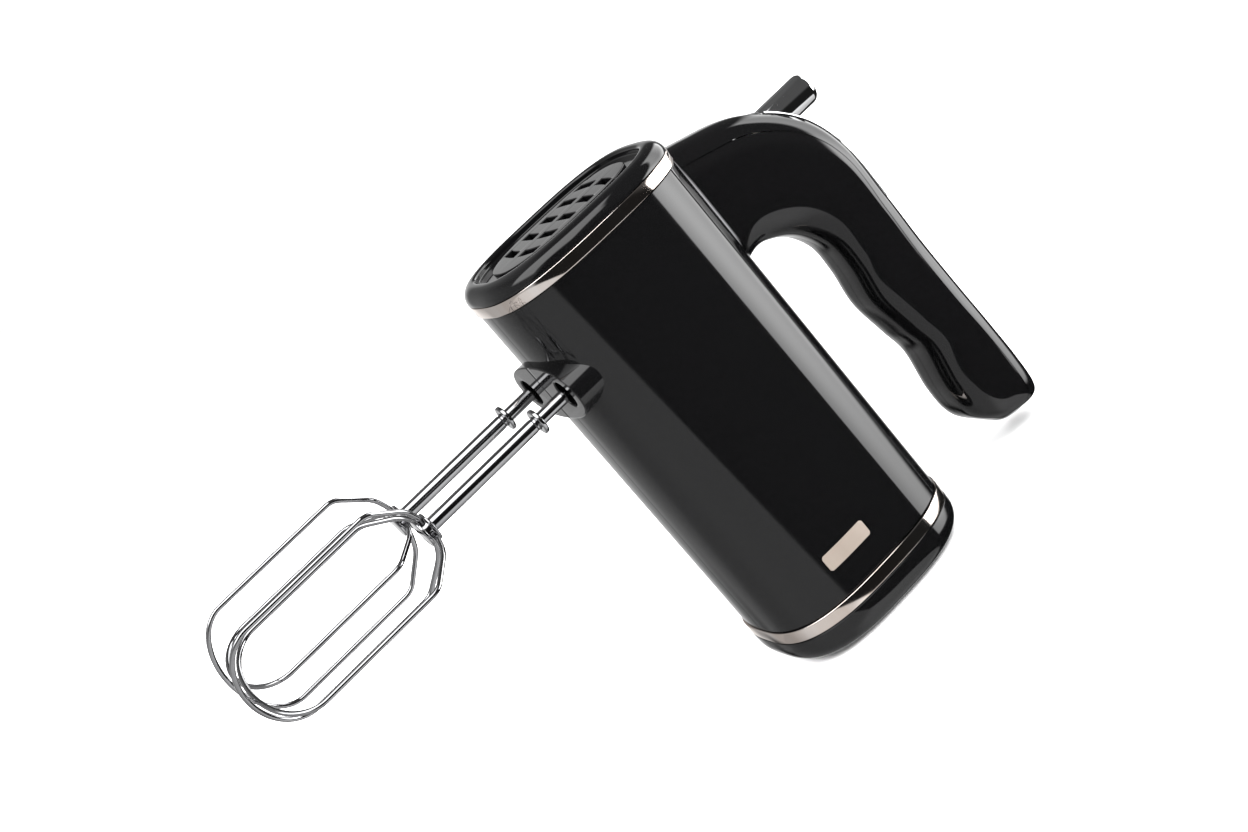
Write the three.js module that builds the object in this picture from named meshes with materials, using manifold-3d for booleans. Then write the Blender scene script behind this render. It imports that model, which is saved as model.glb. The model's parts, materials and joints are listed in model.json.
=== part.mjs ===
// Corded hand mixer with two wire beaters, built as separate pieces on one frame.
// Millimetres. The mixer stands on its flat heel at z = 0, with +Z up to the vented cap,
// +X towards the handle, and the beaters pointing along -X.
import * as THREE from 'three';
import { mergeVertices } from 'three/addons/utils/BufferGeometryUtils.js';
import Module from 'manifold-3d';

const wasm = await Module();
wasm.setup();

// ---------------------------------------------------------------- driving dimensions

const GAP = 0.3; // left between pieces that touch
const WALL = 2.4; // moulded shells
const SECTION_POWER = 2.86; // superellipse exponent of the motor housing's section
const SECTION_POINTS = 40;

const RING_HALF_X = 42.0; // bright rings, the widest part of the housing
const RING_HALF_Y = 36.9;
const RING_PROUD = 0.7; // how far the rings stand out from the shells
const RING_WALL = 3.0;
const CAP_SKIRT = 4.5; // from the housing's outline to the inside of both caps' edges

const REAR_CAP_TOP = 12.7; // heights along the housing, from the heel
const REAR_RING_TOP = 17.7;
const FRONT_RING_BOTTOM = 169.4;
const FRONT_RING_TOP = 174.0;
const CAP_TOP = 180.0;
const REAR_CAP_ROUND = 9.0;
const FRONT_CAP_ROUND = 5.6;
const CAP_WALL = 2.0;
const TRAY_INSET = 7.0; // from the cap's outline to its sunken tray
const TRAY_FLOOR = 177.2;
const PANEL_TOP = 178.5; // vented panel standing up in the tray
const PANEL_HALF_X = 29.5;
const PANEL_HALF_Y = 21.5;
const PANEL_POWER = 2.5;
const VENT_PITCH = 9.4;
const VENT_HALF_WIDTH = 1.65;
const VENT_INNER_Y = 2.3;
const VENT_OUTER_Y = 16.2;
const VENT_BEND = 0.0003; // how the rows curve in at their outer ends

const SPINDLE_Y = 18.05; // half the distance between the two beater axes
const SPINDLE_Z = 136.0; // height of the beater axes
const BOSS_FACE_X = -43.3;
const BOSS_HALF_Y = 28.6;
const BOSS_HALF_Z = 11.8;
const BOSS_POWER = 2.4;
const BOSS_ROOT_X = -20.0;
const SOCKET_RADIUS = 5.4;

const HANDLE_HALF_WIDTH = 16.0;
const HANDLE_WALL = 2.6;
const HANDLE_POWER = 3.2; // superellipse exponent of the handle's section
const COVER_DEPTH = 7.5; // height of the strip that covers the handle's back
const KNOB_X = 84.0; // where the knob leaves the handle
const KNOB_TIP_X = 104.8;
const KNOB_Z = 151.3;
const KNOB_RADIUS = 6.2;

const BEATER_HUB_X = -108.5;
const BEATER_TIP_X = -187.5;
const CAGE_RADIUS = 23.6;
const CAGE_SHOULDER = 13.0; // distance from the hub to where the wires run straight
const CAGE_BOTTOM = 15.0; // depth of the rounded end
const WIRE_RADIUS = 0.95;
const BEATER_SHAFT_RADIUS = 2.45;
const BEATER_PHASE_LEFT = 15; // degrees from +Z towards -Y, at rest
const BEATER_PHASE_RIGHT = 30;

const GEAR_TEETH = 20;
const WORM_STARTS = 2;
const GEAR_PITCH_RADIUS = 13.25;
const WORM_PITCH_RADIUS = SPINDLE_Y - GEAR_PITCH_RADIUS;
const MOTOR_SHAFT_RADIUS = 2.0;

// Outlines of the handle in the X-Z plane, from the housing to the tip of the grip. Point i
// of the back stands opposite point i of the finger side.
const HANDLE_BACK = [
  [34, 173], [53, 169], [73, 162.5], [90, 148.5], [98.1, 130], [99.1, 105],
  [99.1, 82], [99.6, 60], [100.3, 40], [100.8, 22], [99.7, 9.4], [94.2, 6],
];
const HANDLE_FRONT = [
  [34, 118], [46.5, 122.6], [55.3, 120.4], [64, 113.8], [69.4, 103.6], [69.9, 91.5],
  [68.3, 76.8], [70.8, 61], [72.8, 49.4], [70.5, 32.5], [71.6, 18.9], [79.2, 9],
];

// ---------------------------------------------------------------- materials

function material(colour, roughness, metalness) {
  return new THREE.MeshStandardMaterial({ color: new THREE.Color(...colour), roughness, metalness });
}
const glossBlack = () => material([0.012, 0.012, 0.013], 0.12, 0);
const warmChrome = () => material([0.78, 0.7, 0.66], 0.12, 1);
const chrome = () => material([0.8, 0.8, 0.8], 0.08, 1);
const steel = () => material([0.62, 0.62, 0.61], 0.3, 1);
const laminated = () => material([0.35, 0.35, 0.36], 0.5, 1);
const copper = () => material([0.72, 0.36, 0.2], 0.35, 1);
const brass = () => material([0.76, 0.6, 0.3], 0.3, 1);
const carbon = () => material([0.05, 0.05, 0.05], 0.8, 0);
const nylon = () => material([0.86, 0.85, 0.8], 0.5, 0);
const greyPlastic = () => material([0.25, 0.25, 0.26], 0.6, 0);
const circuitGreen = () => material([0.05, 0.25, 0.12], 0.5, 0);
const rubber = () => material([0.02, 0.02, 0.02], 0.85, 0);

// ---------------------------------------------------------------- solids from geometry

const mixer = new THREE.Group();

function solidFrom(geometry) {
  geometry.deleteAttribute('normal');
  geometry.deleteAttribute('uv');
  const merged = mergeVertices(geometry, 1e-4);
  const index = merged.getIndex().array;
  const triangles = [];
  for (let i = 0; i < index.length; i += 3) {
    const [a, b, c] = [index[i], index[i + 1], index[i + 2]];
    if (a !== b && b !== c && c !== a) triangles.push(a, b, c);
  }
  return new wasm.Manifold(new wasm.Mesh({
    numProp: 3,
    vertProperties: new Float32Array(merged.getAttribute('position').array),
    triVerts: new Uint32Array(triangles),
  }));
}

function add(name, solid, finish) {
  const { vertProperties, triVerts } = solid.getMesh();
  const geometry = new THREE.BufferGeometry();
  geometry.setAttribute('position', new THREE.BufferAttribute(new Float32Array(vertProperties), 3));
  geometry.setIndex(new THREE.BufferAttribute(new Uint32Array(triVerts), 1));
  geometry.computeVertexNormals();
  const mesh = new THREE.Mesh(geometry, finish);
  mesh.name = name;
  mixer.add(mesh);
}

const AXIS_BASES = {
  // columns: where the shape's first axis, its second axis and the extrusion go
  X: [new THREE.Vector3(0, 1, 0), new THREE.Vector3(0, 0, 1), new THREE.Vector3(1, 0, 0)],
  Y: [new THREE.Vector3(0, 0, 1), new THREE.Vector3(1, 0, 0), new THREE.Vector3(0, 1, 0)],
  Z: [new THREE.Vector3(1, 0, 0), new THREE.Vector3(0, 1, 0), new THREE.Vector3(0, 0, 1)],
};

// A flat outline extruded along an axis. The outline's points are [y, z] for X, [z, x] for Y
// and [x, y] for Z.
function prism(points, axis, from, to, holes = []) {
  const shape = new THREE.Shape(points.map(([a, b]) => new THREE.Vector2(a, b)));
  for (const hole of holes) {
    shape.holes.push(new THREE.Path(hole.map(([a, b]) => new THREE.Vector2(a, b))));
  }
  const geometry = new THREE.ExtrudeGeometry(shape, { depth: to - from, bevelEnabled: false });
  geometry.translate(0, 0, from);
  geometry.applyMatrix4(new THREE.Matrix4().makeBasis(...AXIS_BASES[axis]));
  return solidFrom(geometry);
}

// A profile of [radius, height] turned round a line along an axis through centre.
function revolve(profile, axis, centre, segments = 16) {
  const points = profile.map(([r, h]) => new THREE.Vector2(r, h));
  const geometry = new THREE.LatheGeometry(points, segments);
  geometry.rotateX(Math.PI / 2);
  geometry.applyMatrix4(new THREE.Matrix4().makeBasis(...AXIS_BASES[axis]));
  geometry.translate(...centre);
  const solid = solidFrom(geometry);
  if (solid.volume() >= 0) return solid;
  const flipped = geometry.clone();
  const index = Array.from(flipped.getIndex().array);
  flipped.setIndex(index.reverse());
  return solidFrom(flipped);
}

function rod(radius, axis, from, to, centre, segments = 16) {
  return revolve([[0, from], [radius, from], [radius, to], [0, to]], axis, centre, segments);
}

function tube(outer, inner, axis, from, to, centre, segments = 16) {
  const profile = [[inner, from], [outer, from], [outer, to], [inner, to], [inner, from]];
  return revolve(profile, axis, centre, segments);
}

function box(low, high) {
  const size = high.map((v, i) => v - low[i]);
  const geometry = new THREE.BoxGeometry(...size);
  geometry.translate(...low.map((v, i) => v + size[i] / 2));
  return solidFrom(geometry);
}

// A closed skin over rings of equal point counts, with a flat fan on each end.
function loft(rings) {
  const count = rings[0].length;
  const positions = rings.flat(2);
  const middle = (ring) => [0, 1, 2].map((k) => ring.reduce((sum, p) => sum + p[k], 0) / count);
  positions.push(...middle(rings[0]), ...middle(rings.at(-1)));
  const first = rings.length * count;
  const triangles = [];
  for (let j = 0; j < count; j++) {
    const k = (j + 1) % count;
    const top = (rings.length - 1) * count;
    triangles.push(first, k, j, first + 1, top + j, top + k);
    for (let i = 0; i < rings.length - 1; i++) {
      const [a, b, c, d] = [i * count + j, i * count + k, (i + 1) * count + k, (i + 1) * count + j];
      triangles.push(a, b, c, a, c, d);
    }
  }
  const build = (order) => {
    const geometry = new THREE.BufferGeometry();
    geometry.setAttribute('position', new THREE.BufferAttribute(new Float32Array(positions), 3));
    geometry.setIndex(order);
    return solidFrom(geometry);
  };
  const solid = build(triangles);
  return solid.volume() >= 0 ? solid : build(triangles.slice().reverse());
}

// ---------------------------------------------------------------- outlines

function superellipse(halfA, halfB, power = SECTION_POWER, count = SECTION_POINTS) {
  const points = [];
  for (let i = 0; i < count; i++) {
    const angle = ((i + 0.5) / count) * 2 * Math.PI;
    const [c, s] = [Math.cos(angle), Math.sin(angle)];
    const reach = (Math.abs(c) ** power + Math.abs(s) ** power) ** (-1 / power);
    points.push([halfA * reach * c, halfB * reach * s]);
  }
  return points;
}

const housingSection = (inset) => superellipse(RING_HALF_X - inset, RING_HALF_Y - inset);

function sectionRing(inset, z) {
  return housingSection(inset).map(([x, y]) => [x, y, z]);
}

function rectangle(a0, a1, b0, b1) {
  return [[a0, b0], [a1, b0], [a1, b1], [a0, b1]];
}

function stadium(halfA, halfB, centreA = 0, centreB = 0, count = 6) {
  const points = [];
  const straight = halfA - halfB;
  for (const side of [1, -1]) {
    for (let i = 0; i <= count; i++) {
      const angle = -Math.PI / 2 + (Math.PI * i) / count;
      points.push([
        centreA + side * (straight + halfB * Math.cos(angle)),
        centreB + side * halfB * Math.sin(angle),
      ]);
    }
  }
  return points;
}

// A smooth curve through points: a uniform Catmull-Rom spline.
function spline(points, t) {
  const last = points.length - 1;
  const i = Math.min(Math.floor(t * last), last - 1);
  const u = t * last - i;
  const at = (k) => {
    if (k < 0) return points[0].map((v, n) => 2 * v - points[1][n]);
    if (k > last) return points[last].map((v, n) => 2 * v - points[last - 1][n]);
    return points[k];
  };
  const [p0, p1, p2, p3] = [at(i - 1), at(i), at(i + 1), at(i + 2)];
  return p1.map((v, n) => 0.5 * (2 * v + (p2[n] - p0[n]) * u
    + (2 * p0[n] - 5 * v + 4 * p2[n] - p3[n]) * u * u
    + (3 * v - p0[n] - 3 * p2[n] + p3[n]) * u * u * u));
}

// ---------------------------------------------------------------- housing

function housingTube(outerInset, innerInset, from, to) {
  return prism(housingSection(outerInset), 'Z', from, to, [housingSection(innerInset)]);
}

const SHELL_BOTTOM = REAR_RING_TOP + GAP;
const SHELL_TOP = FRONT_RING_BOTTOM - GAP;
const INNER_INSET = RING_PROUD + WALL;

function spindleCentre(side) {
  return [0, side * SPINDLE_Y, SPINDLE_Z];
}

function bossSolid() {
  const outline = superellipse(BOSS_HALF_Y, BOSS_HALF_Z, BOSS_POWER, 24);
  return prism(outline.map(([y, z]) => [y, z + SPINDLE_Z]), 'X', BOSS_FACE_X, BOSS_ROOT_X);
}

// Four posts join the two shells across the parting plane; each takes a screw from the left.
const SCREW_POSTS = [[34, 40], [-34, 40], [34, 116], [-34, 116]];
const POST_RADIUS = 2.9;
const SCREW_RADIUS = 1.4;
const SCREW_HEAD_RADIUS = 2.2;
const SCREW_HEAD_Y = 14.0; // underside of the head
const SCREW_HEAD_HEIGHT = 1.8;
const SCREW_SLOT = { halfLength: 1.3, halfWidth: 0.3 };
const SCREW_TIP_Y = -9.0;
const HANDLE_OPENING = { halfY: 15, halfZ: 7.5 }; // lets the ejector into the housing

function bodyShell(side) {
  const cavity = prism(housingSection(INNER_INSET), 'Z', SHELL_BOTTOM - 1, SHELL_TOP + 1);
  const skin = prism(housingSection(RING_PROUD), 'Z', SHELL_BOTTOM, SHELL_TOP);
  let shell = skin.add(bossSolid()).subtract(cavity);
  for (const [x, z] of SCREW_POSTS) {
    shell = shell.add(rod(POST_RADIUS, 'Y', -25, 25, [x, 0, z], 8).intersect(skin));
    const bore = rod(SCREW_RADIUS + GAP, 'Y', SCREW_TIP_Y - 2, SCREW_HEAD_Y + 1, [x, 0, z], 8);
    const well = rod(SCREW_HEAD_RADIUS + GAP, 'Y', SCREW_HEAD_Y - GAP, 40, [x, 0, z], 8);
    shell = shell.subtract(bore).subtract(well);
  }
  for (const hand of [1, -1]) {
    shell = shell.subtract(rod(SOCKET_RADIUS, 'X', -50, 0, spindleCentre(hand)));
  }
  const { halfY, halfZ } = HANDLE_OPENING;
  shell = shell.subtract(prism(stadium(halfY, halfZ, 0, KNOB_Z - 1), 'X', 20, 60));
  const half = side > 0
    ? box([-60, GAP / 2, 0], [60, 60, 200])
    : box([-60, -60, 0], [60, -GAP / 2, 200]);
  return shell.intersect(half);
}

function shellScrew([x, z]) {
  const top = SCREW_HEAD_Y + SCREW_HEAD_HEIGHT;
  const head = rod(SCREW_HEAD_RADIUS, 'Y', SCREW_HEAD_Y, top, [x, 0, z], 8);
  const { halfLength, halfWidth } = SCREW_SLOT;
  const slot = [[x - halfLength, top - 0.8, z - halfWidth], [x + halfLength, top + 1, z + halfWidth]];
  const shank = rod(SCREW_RADIUS, 'Y', SCREW_TIP_Y, SCREW_HEAD_Y + 0.1, [x, 0, z], 8);
  return head.add(shank).subtract(box(...slot));
}

function ventSlot(row, column) {
  const ends = [VENT_INNER_Y, (VENT_INNER_Y + VENT_OUTER_Y) / 2, VENT_OUTER_Y];
  const middle = (y) => [row * VENT_PITCH * (1 - VENT_BEND * y * y), column * y];
  const low = ends.map(middle).map(([x, y]) => [x - VENT_HALF_WIDTH, y]);
  const high = ends.map(middle).map(([x, y]) => [x + VENT_HALF_WIDTH, y]);
  const outline = [...low, ...high.reverse()];
  return prism(column > 0 ? outline.reverse() : outline, 'Z', TRAY_FLOOR - 3, CAP_TOP);
}

function frontCap() {
  const rings = [sectionRing(0, FRONT_RING_TOP + GAP)];
  for (let i = 1; i <= 3; i++) {
    const angle = (i / 3) * (Math.PI / 2);
    const inset = FRONT_CAP_ROUND * (1 - Math.cos(angle));
    rings.push(sectionRing(inset, CAP_TOP - FRONT_CAP_ROUND * (1 - Math.sin(angle))));
  }
  const panel = superellipse(PANEL_HALF_X, PANEL_HALF_Y, PANEL_POWER);
  const hollow = prism(housingSection(CAP_SKIRT), 'Z', FRONT_RING_TOP - 1, TRAY_FLOOR - CAP_WALL);
  let cap = loft(rings).subtract(hollow);
  cap = cap.subtract(prism(housingSection(TRAY_INSET), 'Z', TRAY_FLOOR, CAP_TOP + 1, [panel]));
  cap = cap.subtract(prism(housingSection(TRAY_INSET), 'Z', PANEL_TOP, CAP_TOP + 1));
  for (let row = -2; row <= 2; row++) {
    for (const column of [1, -1]) {
      cap = cap.subtract(ventSlot(row, column));
    }
  }
  return cap;
}

function rearCap() {
  const rings = [];
  for (let i = 0; i <= 3; i++) {
    const angle = (i / 3) * (Math.PI / 2);
    const inset = REAR_CAP_ROUND * (1 - Math.sin(angle));
    rings.push(sectionRing(inset, REAR_CAP_ROUND * (1 - Math.cos(angle))));
  }
  rings.push(sectionRing(0, REAR_CAP_TOP - GAP));
  const cavity = loft([
    sectionRing(REAR_CAP_ROUND + WALL, WALL),
    sectionRing(CAP_SKIRT, REAR_CAP_ROUND + 0.5),
    sectionRing(CAP_SKIRT, REAR_CAP_TOP + 1),
  ]);
  return loft(rings).subtract(cavity);
}

// A plain bright plate, let into the near side.
const BADGE = { x: [-17.2, 2.6], z: [28.6, 35.2], thickness: 0.4 };

function badgePlate() {
  const back = -RING_HALF_Y + RING_PROUD - GAP;
  const { x, z, thickness } = BADGE;
  return box([x[0], back - thickness, z[0]], [x[1], back, z[1]]);
}

function buildHousing() {
  add('body_shell_left', bodyShell(1), glossBlack());
  add('body_shell_right', bodyShell(-1), glossBlack());
  add('front_ring', housingTube(0, RING_WALL, FRONT_RING_BOTTOM, FRONT_RING_TOP), warmChrome());
  add('rear_ring', housingTube(0, RING_WALL, REAR_CAP_TOP, REAR_RING_TOP), warmChrome());
  add('front_cap', frontCap(), glossBlack());
  add('rear_cap', rearCap(), glossBlack());
  add('badge_plate', badgePlate(), warmChrome());
  SCREW_POSTS.forEach((post, i) => add(`shell_screw_${i + 1}`, shellScrew(post), steel()));
}

// ---------------------------------------------------------------- handle

const HANDLE_STEPS = 24;
const HANDLE_SIDES = 14;
const HOLLOW_SIDES = 10;
const HOLLOW_STEPS = 14;
const HOLLOW_END = 0.9; // along the handle
const TIP_START = 0.8; // where the handle begins to narrow
const TIP_NARROWING = 0.72;

// Half sizes of the handle's section at t: it narrows to a rounded tip at the end of the grip.
function handleFrame(t, inset) {
  const back = spline(HANDLE_BACK, t);
  const front = spline(HANDLE_FRONT, t);
  const reach = Math.hypot(back[0] - front[0], back[1] - front[1]);
  const across = [(back[0] - front[0]) / reach, (back[1] - front[1]) / reach];
  const middle = [(back[0] + front[0]) / 2, (back[1] + front[1]) / 2];
  const tip = Math.max(0, (t - TIP_START) / (1 - TIP_START));
  const halfWidth = HANDLE_HALF_WIDTH * Math.sqrt(1 - TIP_NARROWING * tip ** 3) - inset;
  return { middle, across, halfReach: reach / 2 - inset, halfWidth };
}

function handleRing(t, inset, count) {
  const { middle, across, halfReach, halfWidth } = handleFrame(t, inset);
  return superellipse(halfReach, halfWidth, HANDLE_POWER, count).map(([a, y]) => [
    middle[0] + across[0] * a, y, middle[1] + across[1] * a,
  ]);
}

function handleSolid(inset, start, end, steps, count) {
  const rings = [];
  for (let i = 0; i <= steps; i++) {
    rings.push(handleRing(start + ((end - start) * i) / steps, inset, count));
  }
  return loft(rings);
}

function handleHollow() {
  return handleSolid(HANDLE_WALL, 0, HOLLOW_END, HOLLOW_STEPS, HOLLOW_SIDES);
}

// A slab along the handle's back between two depths below it, as an outline swept across Y.
function backSlab(depth, top, start, end, halfWidth, topAtEnd = top) {
  const inner = [];
  const outer = [];
  const at = (t, below) => {
    const { middle, across, halfReach } = handleFrame(t, 0);
    const reach = halfReach - below;
    return [middle[1] + across[1] * reach, middle[0] + across[0] * reach];
  };
  const steps = Math.max(4, Math.round((end - start) * HANDLE_STEPS));
  for (let i = 0; i <= steps; i++) {
    const t = start + ((end - start) * i) / steps;
    inner.push(at(t, depth));
    outer.unshift(at(t, top + ((topAtEnd - top) * i) / steps));
  }
  return prism([...inner, ...outer], 'Y', -halfWidth, halfWidth);
}

const BASE_TRIM = 1.2; // space for the bright line under the handle's base
const BEYOND_TIP = 1.04; // the seam runs out past the end of the grip
const ABOVE_BACK = -8;
const CONTROL_HALF_WIDTH = 8.0;
const BEZEL_START = 0.216; // along the handle, from just in front of the knob
const BEZEL_END = 0.372;
const TURBO_START = 0.3775;
const TURBO_END = 0.47;
const CONTROL_DEPTH = 2.3;
const TURBO_RISE = 1.3;
const TURBO_STEM = { z: 112, radius: 2.4, from: 90, to: 98.2 };
const WINDOW_DEPTH = HANDLE_WALL + 3;
const HALF_SPAN = 60; // reaches past the handle's sides
const GLAND = { x: 86, radius: 4.0, cordRadius: 2.0, low: 7.6, high: 20 };

function knobHole() {
  return rod(KNOB_RADIUS + GAP, 'X', KNOB_X - 10, 120, [0, 0, KNOB_Z]);
}

function handleBlank() {
  const clearOfHousing = prism(housingSection(RING_PROUD - GAP - BASE_TRIM), 'Z', 60, 200);
  const glandHole = rod(GLAND.radius + GAP, 'Z', 0, GLAND.high + 4, [GLAND.x, 0, 0], 16);
  const outer = handleSolid(0, 0, 1, HANDLE_STEPS, HANDLE_SIDES);
  return outer.subtract(handleHollow()).subtract(clearOfHousing).subtract(glandHole).subtract(knobHole());
}

function handleTrim() {
  const band = prism(housingSection(RING_PROUD - BASE_TRIM + GAP), 'Z', 100, SHELL_TOP);
  const housing = prism(housingSection(RING_PROUD - GAP), 'Z', 60, 200);
  const outer = handleSolid(0, 0, 0.5, HANDLE_STEPS / 2, HANDLE_SIDES);
  return outer.intersect(band).subtract(handleHollow()).subtract(housing);
}

function controlBezel() {
  const slab = backSlab(CONTROL_DEPTH, ABOVE_BACK, BEZEL_START, BEZEL_END, CONTROL_HALF_WIDTH);
  return slab.intersect(handleSolid(0, 0.15, 0.6, HANDLE_STEPS / 2, HANDLE_SIDES)).subtract(knobHole());
}

function turboButton() {
  const halfWidth = CONTROL_HALF_WIDTH - GAP;
  const cap = backSlab(CONTROL_DEPTH, 0, TURBO_START, TURBO_END, halfWidth, -TURBO_RISE);
  const { z, radius, from, to } = TURBO_STEM;
  return cap.add(rod(radius, 'X', from, to, [0, 0, z], 16));
}

function buildHandle() {
  const blank = handleBlank();
  const [from, to] = [BEZEL_START - 0.003, TURBO_END + 0.005];
  const window = backSlab(WINDOW_DEPTH, ABOVE_BACK, from, to, CONTROL_HALF_WIDTH + GAP);
  const strip = (depth) => backSlab(depth, ABOVE_BACK, 0, BEYOND_TIP, HALF_SPAN);
  const cover = blank.intersect(strip(COVER_DEPTH - GAP / 2)).subtract(window);
  add('handle_back_cover', cover, glossBlack());
  const sides = blank.subtract(strip(COVER_DEPTH + GAP / 2));
  const leftHalf = box([0, GAP / 2, -10], [140, HALF_SPAN, 200]);
  const rightHalf = box([0, -HALF_SPAN, -10], [140, -GAP / 2, 200]);
  add('handle_shell_left', sides.intersect(leftHalf), glossBlack());
  add('handle_shell_right', sides.intersect(rightHalf), glossBlack());
  add('handle_base_trim', handleTrim(), chrome());
  add('control_bezel', controlBezel(), chrome());
  add('turbo_button', turboButton(), chrome());
  const { x, radius, cordRadius, low, high } = GLAND;
  add('cord_gland', tube(radius, cordRadius, 'Z', low, high, [x, 0, 0], 16), rubber());
}

// ---------------------------------------------------------------- ejector and speed knob

const YOKE_LOW_X = 17;
const YOKE_TOP_X = 20;
const SHAFT_TOP_X = -5.8; // upper end of the beater shafts
const KNOB_BASE_X = 80;
const GUIDE_X = [35.2, 37.4];
const SPRING_SEAT_X = 62.5;
const SPRING_RADIUS = 3.7;
const SPRING_WIRE = 0.55;
const EJECTOR_ROD_RADIUS = 2.4;

function ejectorYoke() {
  const halfSpan = SPINDLE_Y + 3;
  let yoke = box([YOKE_LOW_X, -halfSpan, SPINDLE_Z - 4], [YOKE_TOP_X, halfSpan, SPINDLE_Z + 4]);
  yoke = yoke.add(box([YOKE_LOW_X, -4, SPINDLE_Z], [YOKE_TOP_X, 4, KNOB_Z + 3]));
  for (const side of [1, -1]) {
    yoke = yoke.add(rod(2.2, 'X', SHAFT_TOP_X + GAP, YOKE_LOW_X + 1, spindleCentre(side), 12));
  }
  return yoke;
}

function controlKnob() {
  const round = 2.6;
  const profile = [[0, KNOB_BASE_X], [KNOB_RADIUS, KNOB_BASE_X]];
  for (let i = 0; i <= 4; i++) {
    const angle = (i / 4) * (Math.PI / 2);
    const r = KNOB_RADIUS - round + round * Math.cos(angle);
    profile.push([r, KNOB_TIP_X - round + round * Math.sin(angle)]);
  }
  profile.push([0, KNOB_TIP_X]);
  return revolve(profile, 'X', [0, 0, KNOB_Z], 20);
}

// A round wire along a path; reference(i) is a direction that is never along the path.
function sweep(path, radius, sides, reference) {
  const rings = path.map((point, i) => {
    const before = path[Math.max(0, i - 1)];
    const after = path[Math.min(path.length - 1, i + 1)];
    const along = new THREE.Vector3().subVectors(after, before).normalize();
    const side = new THREE.Vector3().crossVectors(along, reference(i)).normalize();
    const up = new THREE.Vector3().crossVectors(side, along);
    const ring = [];
    for (let k = 0; k < sides; k++) {
      const angle = (k / sides) * 2 * Math.PI;
      const p = point.clone();
      p.addScaledVector(side, radius * Math.cos(angle));
      p.addScaledVector(up, radius * Math.sin(angle));
      ring.push(p.toArray());
    }
    return ring;
  });
  return loft(rings);
}

function ejectorSpring() {
  const turns = 5;
  const stepsPerTurn = 8;
  const [low, high] = [GUIDE_X[1] + SPRING_WIRE + GAP, SPRING_SEAT_X - SPRING_WIRE - GAP];
  const path = [];
  for (let i = 0; i <= turns * stepsPerTurn; i++) {
    const angle = (i / stepsPerTurn) * 2 * Math.PI;
    const x = low + ((high - low) * i) / (turns * stepsPerTurn);
    const [y, z] = [SPRING_RADIUS * Math.cos(angle), KNOB_Z + SPRING_RADIUS * Math.sin(angle)];
    path.push(new THREE.Vector3(x, y, z));
  }
  return sweep(path, SPRING_WIRE, 5, () => new THREE.Vector3(1, 0, 0));
}

function buildEjector() {
  add('ejector_yoke', ejectorYoke(), nylon());
  const axis = [0, 0, KNOB_Z];
  const collar = rod(5, 'X', SPRING_SEAT_X, SPRING_SEAT_X + 2, axis, 16);
  const push = rod(EJECTOR_ROD_RADIUS, 'X', YOKE_TOP_X + GAP, KNOB_BASE_X - GAP, axis, 16);
  add('ejector_rod', push.add(collar), nylon());
  add('ejector_spring', ejectorSpring(), steel());
  const guideHole = rod(EJECTOR_ROD_RADIUS + GAP, 'X', 30, 45, axis, 16);
  const guide = box([GUIDE_X[0], -11, KNOB_Z - 8], [GUIDE_X[1], 11, KNOB_Z + 8]).subtract(guideHole);
  add('ejector_guide', guide, greyPlastic());
  add('control_knob', controlKnob(), chrome());
}

// ---------------------------------------------------------------- gears and spindles

const MODULE = (2 * GEAR_PITCH_RADIUS) / GEAR_TEETH;
const ADDENDUM = 0.76 * MODULE;
const DEDENDUM = 0.98 * MODULE;
const GEAR_HALF_WIDTH = 3.5;
const WORM_HALF_LENGTH = 11;
const SPINDLE_RADIUS = 4.6;
const SPINDLE_BORE = 2.75;

function rotated([a, b], angle) {
  const [c, s] = [Math.cos(angle), Math.sin(angle)];
  return [a * c - b * s, a * s + b * c];
}

// A helical gear round an X axis, with one tooth pointing at the worm.
function driveGear(side) {
  const outline = [];
  const rootAngle = 1.1 / (GEAR_PITCH_RADIUS - DEDENDUM);
  const tipAngle = 0.4 / (GEAR_PITCH_RADIUS + ADDENDUM);
  for (let tooth = 0; tooth < GEAR_TEETH; tooth++) {
    const centre = (tooth / GEAR_TEETH) * 2 * Math.PI + (side > 0 ? Math.PI : 0);
    outline.push(rotated([GEAR_PITCH_RADIUS - DEDENDUM, 0], centre - rootAngle));
    outline.push(rotated([GEAR_PITCH_RADIUS + ADDENDUM, 0], centre - tipAngle));
    outline.push(rotated([GEAR_PITCH_RADIUS + ADDENDUM, 0], centre + tipAngle));
    outline.push(rotated([GEAR_PITCH_RADIUS - DEDENDUM, 0], centre + rootAngle));
  }
  const helix = MODULE * WORM_STARTS / 2 / WORM_PITCH_RADIUS / GEAR_PITCH_RADIUS;
  const rings = [];
  for (let i = 0; i <= 2; i++) {
    const x = GEAR_HALF_WIDTH * (i - 1);
    rings.push(outline.map((p) => {
      const [y, z] = rotated(p, helix * x);
      return [x, y + side * SPINDLE_Y, z + SPINDLE_Z];
    }));
  }
  return loft(rings).subtract(rod(SPINDLE_RADIUS + GAP, 'X', -10, 10, spindleCentre(side)));
}

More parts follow.
